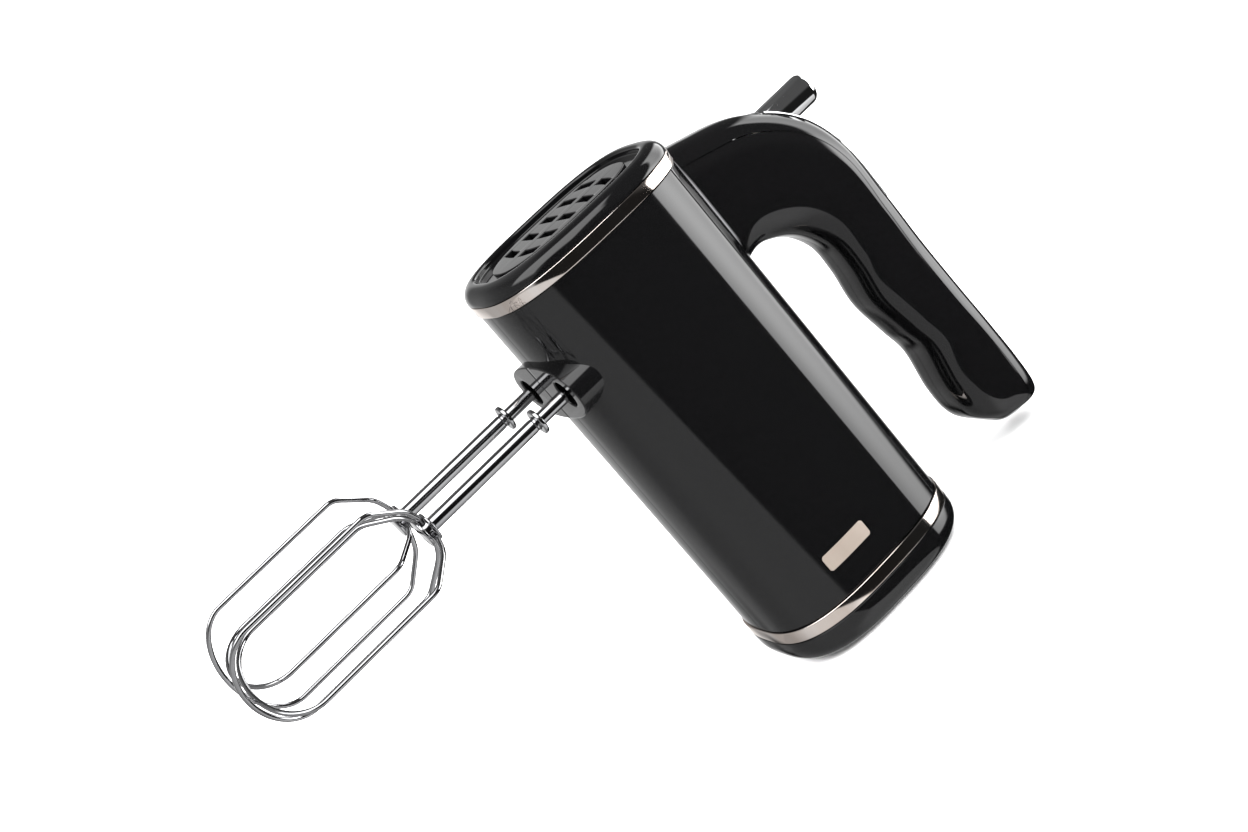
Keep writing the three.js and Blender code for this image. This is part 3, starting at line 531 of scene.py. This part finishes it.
def plastic(name, dark, light, roughness, scale=90):
    """Moulded plastic, rubber or board: mottled tone with a fine moulded grain."""
    material, nodes, links, shader = node_material(name)
    cloud = noise(nodes, links, scale, 3)
    links.new(ramp(nodes, links, cloud, 0.3, 0.7, dark, light), shader.inputs["Base Color"])
    low, high = roughness
    wear = noise(nodes, links, scale * 0.5, 3)
    links.new(ramp(nodes, links, wear, 0.3, 0.7, low, high), shader.inputs["Roughness"])
    bump(nodes, links, noise(nodes, links, scale * 14, 2), shader, 0.15, 0.00015)
    return material


GLOSS_BLACK = gloss_black()
# three finishes that differ from their slot's: the plate on the housing's side, the line
# under the handle, and the beaters
SATIN_PLATE = metal("satin-plate", (0.27, 0.225, 0.19), (0.35, 0.3, 0.26), (0.32, 0.42), 40,
                    (1, 1, 0.15), 0.1, 0.3)
SMOKED_CHROME = metal("smoked-chrome", (0.05, 0.05, 0.052), (0.075, 0.075, 0.078), (0.06, 0.1))
WIRE_CHROME = metal("wire-chrome", (0.34, 0.34, 0.35), (0.46, 0.46, 0.47), (0.06, 0.12))
FINISHES = {
    "gloss_black": GLOSS_BLACK,
    "warm_chrome": metal("warm-chrome", (0.8, 0.68, 0.6), (0.93, 0.88, 0.85), (0.05, 0.1), 70,
                         (1, 1, 0.12)),
    "chrome": metal("bright-chrome", (0.78, 0.78, 0.79), (0.88, 0.88, 0.89), (0.03, 0.07)),
    "steel": metal("turned-steel", (0.5, 0.5, 0.5), (0.66, 0.66, 0.65), (0.2, 0.34), 120),
    "laminations": metal("laminated-steel", (0.24, 0.24, 0.25), (0.42, 0.42, 0.43),
                         (0.4, 0.55), 40, (1, 1, 30), 0.5),
    "copper": metal("enamelled-copper", (0.5, 0.2, 0.09), (0.78, 0.38, 0.2),
                    (0.25, 0.4), 80, (1, 1, 12), 0.6),
    "brass": metal("sintered-brass", (0.6, 0.44, 0.2), (0.78, 0.62, 0.33), (0.28, 0.4), 110),
    "carbon": plastic("carbon", (0.02, 0.02, 0.02), (0.05, 0.05, 0.05), (0.7, 0.85)),
    "nylon": plastic("nylon", (0.72, 0.7, 0.63), (0.82, 0.8, 0.74), (0.4, 0.5)),
    "grey_plastic": plastic("grey-plastic", (0.09, 0.09, 0.095), (0.13, 0.13, 0.135), (0.5, 0.62)),
    "board": plastic("circuit-board", (0.015, 0.1, 0.04), (0.03, 0.16, 0.07), (0.4, 0.55), 300),
    "rubber": plastic("rubber", (0.012, 0.012, 0.012), (0.022, 0.022, 0.022), (0.65, 0.8)),
}


# ------------------------------------------------------------------ housing

def shell_strip(name, start, end):
    """A wall of the housing between two angles of its outline."""
    outer = arc(RING_HALF_X - SHELL_INSET, RING_HALF_Y - SHELL_INSET, SECTION_POWER, start, end, 110)
    inset = SHELL_INSET + SHELL_WALL
    inner = arc(RING_HALF_X - inset, RING_HALF_Y - inset, SECTION_POWER, start, end, 110)
    outline = outer + inner[::-1]
    rings = [[(x, y, z) for x, y in outline] for z in (SHELL_LOW, SHELL_HIGH)]
    return loft(name, rings)


def outline_angle(y):
    """The angle at which the housing's outline reaches this y on its +X side."""
    share = abs(y) / (RING_HALF_Y - SHELL_INSET)
    return math.asin(share ** (SECTION_POWER / 2))


def boss_half(name, side):
    """Half of the raised face that the beaters plug into, with its socket."""
    full = [
        superellipse(BOSS_HALF_Y, BOSS_HALF_Z, BOSS_POWER, math.tau * k / 160) for k in range(160)
    ]
    half = [(side * max(BOSS_PARTING_Y, a), b) for a, b in full if a >= -1e-9]
    half = sorted(set(half), key=lambda p: math.atan2(p[1], p[0] * side - 0.5))
    socket = [
        (side * SPINDLE_Y + SOCKET_RADIUS * math.cos(math.tau * k / 64),
         SOCKET_RADIUS * math.sin(math.tau * k / 64))
        for k in range(64)
    ]
    # local X runs along Y, local Y along Z and local Z along X, into the housing
    place = Matrix(((0, 0, 1, 0), (1, 0, 0, 0), (0, 1, 0, 0), (0, 0, 0, 1)))
    place = Matrix.Translation((BOSS_FACE_X * MM, 0, SPINDLE_Z * MM)) @ place
    return plate(name, half, [socket], place, BOSS_DEPTH, BOSS_EDGE)


def build_housing():
    build_shells()
    for hand, side in (("left", 1), ("right", -1)):
        boss = boss_half("beater_boss_" + hand, side)
        dress(boss, "housing", GLOSS_BLACK, flat=True)
    for name, low, high in BRIGHT_RINGS:
        section = [(0, low), (RING_DEPTH, low), (RING_DEPTH, high), (0, high)]
        ring = around_housing(f"bright_ring_{name}", rounded(section, [0.35, 0.2, 0.2, 0.35]))
        dress(ring, "housing", FINISHES["warm_chrome"], [f"{name}_ring"])
    build_front_cap()
    build_rear_cap()
    build_badge()


def build_shells():
    """The strip under the handle and the two sides, which meet between the beaters."""
    seam = outline_angle(SPINE_HALF_Y)
    parting = math.pi - outline_angle(GAP / 2)
    spine = shell_strip("housing_spine", -seam + SEAM_ANGLE, seam - SEAM_ANGLE)
    dress(spine, "housing", GLOSS_BLACK, bevel=0.22)
    right = shell_strip("housing_side_right", -seam - SEAM_ANGLE, -parting)
    dress(right, "housing", GLOSS_BLACK, ["body_shell_right"], bevel=0.22)
    left = shell_strip("housing_side_left", seam + SEAM_ANGLE, parting)
    bore = [(WELL_RADIUS, WELL_FLOOR_Y), (WELL_RADIUS, WELL_MOUTH_Y)]
    cut(left, *[turned("well", bore, (x, 0, z), "Y", 32) for x, z in SCREW_WELLS])
    dress(left, "housing", GLOSS_BLACK, ["body_shell_left"], bevel=0.15)


def build_rear_cap():
    """A cup with a rounded foot."""
    foot = REAR_CAP_ROUND + 2
    outside = [(foot, 0), (0, 0), (0, REAR_CAP_HIGH), (REAR_CAP_WALL, REAR_CAP_HIGH)]
    inside = [(REAR_CAP_WALL, REAR_CAP_INNER_CORNER), (foot, REAR_CAP_FLOOR)]
    cap = rounded(outside + inside, [0, REAR_CAP_ROUND, 0.3, 0.3, 2, 0], 14)
    cup = [housing_ring(inset, z) for inset, z in cap]
    # close the floor of the cup with shrunken copies of its two edge rings
    floor_low = [(x * FLOOR_SHRINK, y * FLOOR_SHRINK, 0) for x, y, z in cup[0]]
    floor_high = [(x * FLOOR_SHRINK, y * FLOOR_SHRINK, REAR_CAP_FLOOR) for x, y, z in cup[-1]]
    rear = loft("rear_cap_shell", [floor_low, *cup, floor_high])
    dress(rear, "housing", GLOSS_BLACK, ["rear_cap"], sharp=30)


def build_front_cap():
    """Rounded rim, sunken tray and the vented panel standing in it."""
    outside = [(CAP_SKIRT, CAP_LOW), (0, CAP_LOW), (0, CAP_TOP), (TRAY_INSET, CAP_TOP)]
    low = TRAY_FLOOR - CAP_WALL
    tray = [
        (TRAY_INSET, TRAY_FLOOR), (TRAY_REACH, TRAY_FLOOR), (TRAY_REACH, low), (CAP_SKIRT, low),
    ]
    profile = rounded(outside + tray, [0.2, 0.12, CAP_ROUND, 1.2, 0.7, 0, 0, 0.3], 14)
    rim = around_housing("front_cap_rim", profile)
    dress(rim, "housing", GLOSS_BLACK, ["front_cap"], sharp=30)
    outline = [superellipse(PANEL_HALF_X, PANEL_HALF_Y, PANEL_POWER, a) for a in RIM_ANGLES]
    vents = [vent_slot(row, column) for row in range(-2, 3) for column in (1, -1)]
    place = Matrix.Translation((0, 0, low * MM))
    panel = plate("vent_panel", outline, vents, place, PANEL_TOP - TRAY_FLOOR + CAP_WALL, 0.35)
    dress(panel, "housing", GLOSS_BLACK, flat=True)


def vent_slot(row, column):
    """The outline of one slot. A column is a side of Y; the slots lean to the middle row."""
    steps = 6
    low, high = [], []
    for k in range(steps + 1):
        y = VENT_INNER_Y + (VENT_OUTER_Y - VENT_INNER_Y) * k / steps
        x = row * VENT_PITCH * (1 - VENT_BEND * y * y)
        low.append((x - VENT_HALF_WIDTH, column * y))
        high.append((x + VENT_HALF_WIDTH, column * y))
    loop = low + high[::-1]
    return loop if column < 0 else loop[::-1]


def build_badge():
    """A plain bright plate on the near side, bent to the housing."""
    low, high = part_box("badge_plate")
    x0, x1, z0, z1 = low.x / MM, high.x / MM, low.z / MM, high.z / MM
    rings = []
    steps = 24
    for k in range(steps + 1):
        x = x0 + (x1 - x0) * k / steps
        back = -housing_y(x) + BADGE_SINK
        face = back - BADGE_THICKNESS
        near = min(x - x0, x1 - x, BADGE_CORNER) / BADGE_CORNER
        trim = BADGE_CORNER * (1 - math.sqrt(max(0.0, 1 - (1 - near) ** 2)))
        rings.append([
            (x, back, z0 + trim), (x, face, z0 + trim),
            (x, face, z1 - trim), (x, back, z1 - trim),
        ])
    badge = loft("side_plate", rings)
    dress(badge, "housing", SATIN_PLATE, ["badge_plate"], bevel=0.15)


# ------------------------------------------------------------------ handle

def spline_point(points, t):
    """Catmull-Rom through the points, with t from 0 to 1."""
    last = len(points) - 1
    i = min(int(t * last), last - 1)
    u = t * last - i

    def at(k):
        if k < 0:
            return [2 * a - b for a, b in zip(points[0], points[1])]
        if k > last:
            return [2 * a - b for a, b in zip(points[last], points[last - 1])]
        return points[k]

    p0, p1, p2, p3 = at(i - 1), at(i), at(i + 1), at(i + 2)
    return [
        0.5 * (2 * b + (c - a) * u + (2 * a - 5 * b + 4 * c - d) * u * u
               + (3 * b - a - 3 * c + d) * u**3)
        for a, b, c, d in zip(p0, p1, p2, p3)
    ]


class Station:
    """The handle's section at t: its middle, its direction across and its half sizes.
    Past 1 the tip closes in a low dome."""

    DOME_ANGLE = math.radians(33)
    TIP_SHARE = 0.2  # the stretch before the tip in which the handle narrows
    TIP_NARROWING = 0.72

    def __init__(self, t, inset=0.0):
        past = max(0.0, t - 1)
        t = min(1.0, t)
        back, front = spline_point(HANDLE_BACK, t), spline_point(HANDLE_FRONT, t)
        reach = math.dist(back, front)
        self.across = [(b - f) / reach for b, f in zip(back, front)]
        self.middle = [(b + f) / 2 for b, f in zip(back, front)]
        tip = max(0.0, (t - (1 - self.TIP_SHARE)) / self.TIP_SHARE)
        width = HANDLE_HALF_WIDTH * math.sqrt(max(0.02, 1 - self.TIP_NARROWING * tip**3))
        self.full = reach / 2
        self.reach = reach / 2 - inset
        self.width = width - inset
        self.shrink = 1.0
        if past:
            polar = self.DOME_ANGLE * (1 - past)
            radius = self.full / math.sin(self.DOME_ANGLE)
            rise = radius * (math.cos(polar) - math.cos(self.DOME_ANGLE))
            self.shrink = max(0.04, math.sin(polar) / math.sin(self.DOME_ANGLE))
            out = (self.across[1], -self.across[0])
            rise = -0.25 * rise if inset else rise
            self.middle = [m + rise * o for m, o in zip(self.middle, out)]

    def point(self, a, y):
        """The place that lies a towards the handle's back from the middle, and y sideways."""
        a, y = a * self.shrink, y * self.shrink
        return (self.middle[0] + self.across[0] * a, y, self.middle[1] + self.across[1] * a)

    def angle_at(self, depth):
        """The section's angle at this depth below the handle's back."""
        share = max(-0.985, min(0.985, (self.full - depth) / self.reach))
        return math.acos(math.copysign(abs(share) ** (HANDLE_POWER / 2), share))


def handle_stations():
    """Where the handle's sections lie: along it, and from 1 to 2 over its tip."""
    along = [k / HANDLE_STEPS for k in range(HANDLE_STEPS + 1)]
    return along + [1 + k / DOME_STEPS for k in range(1, DOME_STEPS + 1)]


def handle_piece(name, first_angle, last_angle):
    """A wall of the handle between two angles of its section, given by functions of a station."""
    rings = []
    for t in handle_stations():
        outer, inner = Station(t), Station(t, HANDLE_WALL)
        sides = [
            (outer, first_angle(outer), last_angle(outer)),
            (inner, last_angle(inner), first_angle(inner)),
        ]
        ring = []
        for station, start, end in sides:
            line = arc(station.reach, station.width, HANDLE_POWER, start, end, WALL_POINTS)
            ring += [station.point(a, y) for a, y in line]
        rings.append(ring)
    return loft(name, rings)


def back_window():
    """A block along the handle's back, to cut its opening for the controls."""
    start, end = WINDOW_SPAN
    steps = 24
    low, high = [], []
    for k in range(steps + 1):
        station = Station(start + (end - start) * k / steps)
        low.append(station.point(station.reach - WINDOW_DEPTH, 0))
        high.append(station.point(station.reach + 6, 0))
    outline = low + high[::-1]
    sides = (-WINDOW_HALF_WIDTH, WINDOW_HALF_WIDTH)
    return loft("window", [[(x, y, z) for x, _, z in outline] for y in sides])


def back_pad(name, span, half_width, rise, corner, slopes):
    """A pad let into the handle's back. rise is its height above the back's line at a share of
    its length. Its corners are rounded in plan, over the share of its length that corner says.
    slopes lists the width and drop of each slope down its long sides, from the top."""
    start, end = span
    full_drop = sum(drop for _, drop in slopes)
    steps = 72
    rings = []
    for k in range(steps + 1):
        share = (1 - math.cos(math.pi * k / steps)) / 2
        station = Station(start + (end - start) * share)
        near = min(1.0, min(share, 1 - share) / corner)
        width = half_width - PAD_CORNER_RUN * (1 - math.sqrt(max(0.0, 1 - (1 - near) ** 2)))
        top = station.reach + rise(share)
        shrink = min(1.0, (rise(share) + 0.1) / full_drop)
        flat = width - shrink * sum(run for run, _ in slopes)
        section = [(top - CROWN_DROP * (j / 6) ** 2, flat * j / 6) for j in range(7)]
        for run, drop in slopes:
            last = section[-1]
            section.append((last[0] - shrink * drop, last[1] + shrink * run))
        section.append((station.reach - PAD_SINK, width))
        ring = [station.point(a, -y) for a, y in reversed(section)]
        ring += [station.point(a, y) for a, y in section[1:]]
        rings.append(ring)
    return loft(name, rings)


def gland_hole():
    bore = [(GLAND_HOLE_RADIUS, -6), (GLAND_HOLE_RADIUS, 24)]
    return turned("hole", bore, (GLAND_X, 0, 0), "Z", 40)


def knob_hole():
    radius = KNOB_RADIUS + GAP
    return turned("hole", [(radius, 60), (radius, 120)], (0, 0, KNOB_Z))


def build_handle():
    half_gap = GAP / 2
    cover = handle_piece(
        "grip_cover",
        lambda s: s.angle_at(COVER_DEPTH - half_gap),
        lambda s: -s.angle_at(COVER_DEPTH - half_gap),
    )
    cut(cover, back_window(), knob_hole(), gland_hole())
    dress(cover, "housing", GLOSS_BLACK, ["handle_back_cover"], bevel=0.35, sharp=50)

    for hand, side in (("left", 1), ("right", -1)):
        shell = handle_piece(
            "grip_side_" + hand,
            lambda s, side=side: side * s.angle_at(COVER_DEPTH + half_gap),
            lambda s, side=side: side * (math.pi - (half_gap / s.width) ** (HANDLE_POWER / 2)),
        )
        cut(shell, gland_hole())
        dress(shell, "housing", GLOSS_BLACK, ["handle_shell_" + hand], bevel=0.5,
              sharp=50, segments=3)

    build_base_trim()
    build_controls()
    gland_profile = [(2.0, 7.8), (3.9, 7.8), (3.9, 20), (2.0, 20)]
    outline = rounded(gland_profile, [0.5, 0.6, 0.2, 0.2])
    gland = turned("cord_sleeve", outline, (GLAND_X, 0, 0), "Z", 40, wrap=True)
    dress(gland, "housing", FINISHES["rubber"], ["cord_gland"])


def build_base_trim():
    """The bright line where the handle leaves the housing: a rounded bead round its section."""
    rings = []
    angles = [math.tau * k / TRIM_POINTS for k in range(TRIM_POINTS)]
    for out, lift in TRIM_BEAD:
        ring = []
        for angle in angles:
            # halve the stretch until the point stands this far out of the housing
            low_t, high_t = 0.0, TRIM_REACH
            for _ in range(26):
                t = (low_t + high_t) / 2
                station = Station(t)
                a, y = superellipse(station.reach + lift, station.width + lift, HANDLE_POWER, angle)
                x, y, z = station.point(a, y)
                if x < housing_x(y) + out:
                    low_t = t
                else:
                    high_t = t
            ring.append((x, y, z))
        rings.append(ring)
    # an inner wall closes the bead inside the handle's section
    for edge in (rings[-1], rings[0]):
        rings.append([
            (x, y * TRIM_WALL_SHRINK, z + math.copysign(TRIM_WALL_STEP, TRIM_MIDDLE_Z - z))
            for x, y, z in edge
        ])
    trim = loft("grip_base_line", rings, wrap=True)
    dress(trim, "housing", SMOKED_CHROME, ["handle_base_trim"])


def build_controls():
    chrome = FINISHES["chrome"]

    def bezel_rise(share):
        return 0.55 + 0.1 * share

    bezel = back_pad(
        "control_surround", BEZEL_SPAN, BEZEL_HALF_WIDTH, bezel_rise, BEZEL_CORNER, BEZEL_SLOPES
    )
    cut(bezel, knob_hole())
    dress(bezel, "housing", chrome, ["control_bezel"], bevel=0.12, sharp=PAD_EDGE_ANGLE)

    def turbo_rise(share):
        climb = min(1.0, share * 2.2)
        return TURBO_LOW + TURBO_CLIMB * climb * climb * (3 - 2 * climb)

    turbo = back_pad(
        "turbo_pad", TURBO_SPAN, TURBO_HALF_WIDTH, turbo_rise, TURBO_CORNER, TURBO_SLOPES
    )
    dress(turbo, "turbo", chrome, ["turbo_button"], bevel=0.1, sharp=PAD_EDGE_ANGLE)

    corners = [
        (AXIS_RADIUS, KNOB_BASE_X), (KNOB_RADIUS, KNOB_BASE_X),
        (KNOB_RADIUS, KNOB_TIP_X), (AXIS_RADIUS, KNOB_TIP_X),
    ]
    profile = rounded(corners, [0, KNOB_BASE_ROUND, KNOB_TIP_ROUND, 0], 10)
    # a barely domed end in place of the flat one
    tip = [(3.0, KNOB_TIP_X - 0.02), (1.2, KNOB_TIP_X), (AXIS_RADIUS, KNOB_TIP_X)]
    profile = [p for p in profile if p[1] < KNOB_TIP_X - 0.03] + tip
    knob = turned("speed_dial", profile, (0, 0, KNOB_Z), "X", 72)
    dress(knob, "speed_knob", chrome, ["control_knob"], sharp=50)


# ------------------------------------------------------------------ beaters

def wire_path(side, phase, tip):
    """One loop of the cage, corners eased, as points round its axis."""
    half = [
        (3.6, HUB_X), (6.5, HUB_X), (13, HUB_X - 2.2), (CAGE_RADIUS, HUB_X - CAGE_SHOULDER),
        (CAGE_RADIUS, tip + CAGE_BOTTOM),
    ]
    eased = [half[0]]
    for last, corner, following in zip(half, half[1:], half[2:]):
        a, b, c = Vector(last), Vector(corner), Vector(following)
        cut_in = min(CORNER_RUN, (a - b).length * 0.48, (c - b).length * 0.48)
        start, end = b + (a - b).normalized() * cut_in, b + (c - b).normalized() * cut_in
        for k in range(7):
            u = k / 6
            eased.append(tuple(start * (1 - u) ** 2 + b * 2 * u * (1 - u) + end * u * u))
    for k in range(17):
        a = k / 16 * math.pi / 2
        eased.append((CAGE_RADIUS * math.cos(a), tip + CAGE_BOTTOM * (1 - math.sin(a))))
    loop = eased + [(-r, x) for r, x in eased[-2::-1]]
    a = math.radians(phase)
    dy, dz = -math.sin(a), math.cos(a)
    path = [(x, side * SPINDLE_Y + r * dy, SPINDLE_Z + r * dz) for r, x in loop]
    return path, (0, dz, -dy)


def build_beater(hand, side, phase):
    """Stem, flange, hub and two wire loops, which ride together and turn about one axis."""
    body = "beater_" + hand
    centre = (0, side * SPINDLE_Y, SPINDLE_Z)
    shaft = [
        (AXIS_RADIUS, STEM_LOW_X), (STEM_LOW_RADIUS, STEM_LOW_X),
        (STEM_LOW_RADIUS, -58.8), (STEM_RADIUS, -58.3),
        (STEM_RADIUS, -6.8), (1.65, STEM_TOP_X), (AXIS_RADIUS, STEM_TOP_X),
    ]
    stem = turned("beater_stem_" + hand, rounded(shaft, [0, 0.3, 0.2, 0.2, 0.4, 0.4, 0]), centre)
    dress(stem, body, WIRE_CHROME, ["beater_shaft_" + hand], sharp=50)
    collar = [(2.75, -57.3), (FLANGE_RADIUS, -57.3), (FLANGE_RADIUS, -55.7), (2.75, -55.7)]
    collar = rounded(collar, [0.1, 0.5, 0.5, 0.1])
    ring = turned("beater_flange_" + hand, collar, centre, wrap=True)
    dress(ring, body, WIRE_CHROME, ["beater_collar_" + hand], sharp=50)
    hub = [
        (AXIS_RADIUS, -110.8), (HUB_RADIUS, -110.8), (HUB_RADIUS, -109.8), (HUB_WAIST, -109.8),
        (HUB_WAIST, -107.2), (HUB_RADIUS, -107.2), (HUB_RADIUS, -106.4), (AXIS_RADIUS, -106.4),
    ]
    hub = rounded(hub, [0, 0.35, 0.25, 0.3, 0.3, 0.25, 0.35, 0])
    boss = turned("beater_hub_disc_" + hand, hub, centre)
    dress(boss, body, WIRE_CHROME, ["beater_hub_" + hand], sharp=50)
    for kind, turn, lift in (("outer", 0, 0), ("inner", 90, WIRE_CROSSING)):
        path, normal = wire_path(side, phase + turn, TIP_X + lift)
        wire = tube_along(f"beater_wire_{kind}_{hand}", path, WIRE_RADIUS, normal)
        dress(wire, body, WIRE_CHROME, [f"beater_{kind}_wire_{hand}"], sharp=60)


# ------------------------------------------------------------------ studio

def camera_axes():
    """The photograph's directions right, up and towards the camera."""
    a, e, r = (math.radians(v) for v in (CAMERA_AZIMUTH, CAMERA_ELEVATION, CAMERA_ROLL))
    back = Vector((math.sin(a) * math.cos(e), -math.cos(a) * math.cos(e), math.sin(e)))
    right = Vector((math.cos(a), math.sin(a), 0))
    up = back.cross(right)
    across = math.cos(r) * right - math.sin(r) * up
    upward = math.sin(r) * right + math.cos(r) * up
    return across, upward, back


def build_camera():
    across, upward, back = camera_axes()
    x, y, z = CAMERA_OFFSET
    place = Matrix((across, upward, back)).transposed().to_4x4()
    place.translation = (across * x + upward * y + back * z) * MM
    data = bpy.data.cameras.new("camera")
    data.lens = CAMERA_LENS
    data.sensor_width = SENSOR_WIDTH
    data.clip_start = 0.01
    data.clip_end = 50
    camera = bpy.data.objects.new("camera", data)
    camera.matrix_world = place
    bpy.context.scene.collection.objects.link(camera)
    bpy.context.scene.camera = camera


def build_floor():
    mesh = bpy.data.meshes.new("floor")
    size = FLOOR_HALF
    mesh.from_pydata([(-size, -size, 0), (size, -size, 0), (size, size, 0), (-size, size, 0)], [],
                     [(0, 1, 2, 3)])
    floor = bpy.data.objects.new("floor", mesh)
    bpy.context.scene.collection.objects.link(floor)
    material, nodes, links, shader = node_material("pale-paper")
    tone = ramp(nodes, links, noise(nodes, links, 3, 3), 0.3, 0.7, (0.9, 0.9, 0.9), (0.93, 0.93, 0.93))
    links.new(tone, shader.inputs["Base Color"])
    shader.inputs["Roughness"].default_value = 0.9
    shader.inputs["Specular IOR Level"].default_value = 0.1
    mesh.materials.append(material)
    floor.visible_glossy = False


def soft_world():
    """Even white light, with the dark and bright fields of a studio in the reflections."""
    world = bpy.data.worlds.new("studio")
    bpy.context.scene.world = world
    world.use_nodes = True
    nodes, links = world.node_tree.nodes, world.node_tree.links
    nodes.clear()
    where = nodes.new("ShaderNodeTexCoord").outputs["Generated"]

    def along(axis):
        node = nodes.new("ShaderNodeVectorMath")
        node.operation = "DOT_PRODUCT"
        node.inputs[1].default_value = tuple(axis)
        links.new(where, node.inputs[0])
        return node.outputs["Value"]

    def step(source, low, high, first=0.0, last=1.0):
        node = map_range(nodes, links, source, low, high, first, last)
        node.interpolation_type = "SMOOTHSTEP"
        return node.outputs["Result"]

    def math_node(kind, a, b):
        node = nodes.new("ShaderNodeMath")
        node.operation = kind
        for socket, value in zip(node.inputs, (a, b)):
            if isinstance(value, (int, float)):
                socket.default_value = value
            else:
                links.new(value, socket)
        return node.outputs["Value"]

    def field(value, *masks):
        for mask in masks:
            value = math_node("MULTIPLY", value, mask)
        return value

    across, upward, back = camera_axes()
    right, up, near = along(across), along(upward), along(back)
    # a strong panel on the right, paper below, a paler wall on the left, the white sweep
    # straight behind, a narrow panel above and a faint ceiling
    side = field(
        step(up, 0.18, 0.5, 4.9, 9.8), step(up, 0.52, 0.75, 1.0, 0.6),
        step(along(back - upward), 0.055, 0.02), step(along(back + 0.6 * upward), 0.70, 0.58),
        step(along(back + 2 * upward), 0.2, 0.42), step(near, -0.4, 0.15, 0.54, 1.0),
        step(right, 0.0, 0.12), step(up, 0.0, 0.2),
    )
    below = field(
        step(near, -0.5, 0.5, 0.42, 0.85), step(along(upward - 0.3 * across), -0.535, -0.565),
        step(near, -0.9, -0.8), step(right, 0.5, 0.75, 1.0, 1.7),
    )
    left = field(
        step(up, -0.2, 0.3, 0.5, 0.26), step(up, 0.6, 0.8, 1.0, 0.12), step(right, -0.2, -0.35),
        step(along(upward - 0.3 * across), -0.565, -0.535),
    )
    behind = field(1.15, step(near, -0.84, -0.97))
    above = field(
        4.4, step(right, 0.12, 0.0), step(along(across + 1.4 * upward), 1.04, 0.98),
        step(up, -0.25, 0.0), step(near, 0.25, 0.38), step(near, 0.93, 0.85),
    )
    ceiling = field(0.09, step(up, 0.25, 0.45))
    total = MIRRORED_BASE
    for part in (side, below, left, behind, above, ceiling):
        total = math_node("ADD", total, part)

    path = nodes.new("ShaderNodeLightPath")
    seen = nodes.new("ShaderNodeBackground")
    seen.inputs["Color"].default_value = (1, 1, 1, 1)
    seen.inputs["Strength"].default_value = SKY_STRENGTH
    mirrored = nodes.new("ShaderNodeBackground")
    links.new(total, mirrored.inputs["Strength"])
    mix = nodes.new("ShaderNodeMixShader")
    links.new(path.outputs["Is Glossy Ray"], mix.inputs["Fac"])
    links.new(seen.outputs[0], mix.inputs[1])
    links.new(mirrored.outputs[0], mix.inputs[2])
    links.new(mix.outputs[0], nodes.new("ShaderNodeOutputWorld").inputs["Surface"])


def soft_light(name, place, watts):
    data = bpy.data.lights.new(name, "AREA")
    data.size = LIGHT_SIZE
    data.energy = watts
    light = bpy.data.objects.new(name, data)
    light.location = place
    light.rotation_mode = "QUATERNION"
    light.rotation_quaternion = (Vector(place) - Vector(LIGHT_TARGET)).to_track_quat("Z", "Y")
    light.visible_camera = False
    light.visible_glossy = False
    bpy.context.scene.collection.objects.link(light)


# ------------------------------------------------------------------ scene

build_housing()
build_handle()
for hand, side, phase in BEATERS:
    build_beater(hand, side, phase)

slots = {part["node"]: part["material_slot"] for part in frame["record"]["subparts"]}
for name, obj in frame["nodes"].items():
    if not obj.hide_render:
        obj.data.materials.clear()
        obj.data.materials.append(FINISHES[slots[name]])

build_camera()
build_floor()
soft_world()
for name, place, watts in LIGHTS:
    soft_light(name, place, watts)
bpy.context.scene.view_settings.view_transform = "Standard"
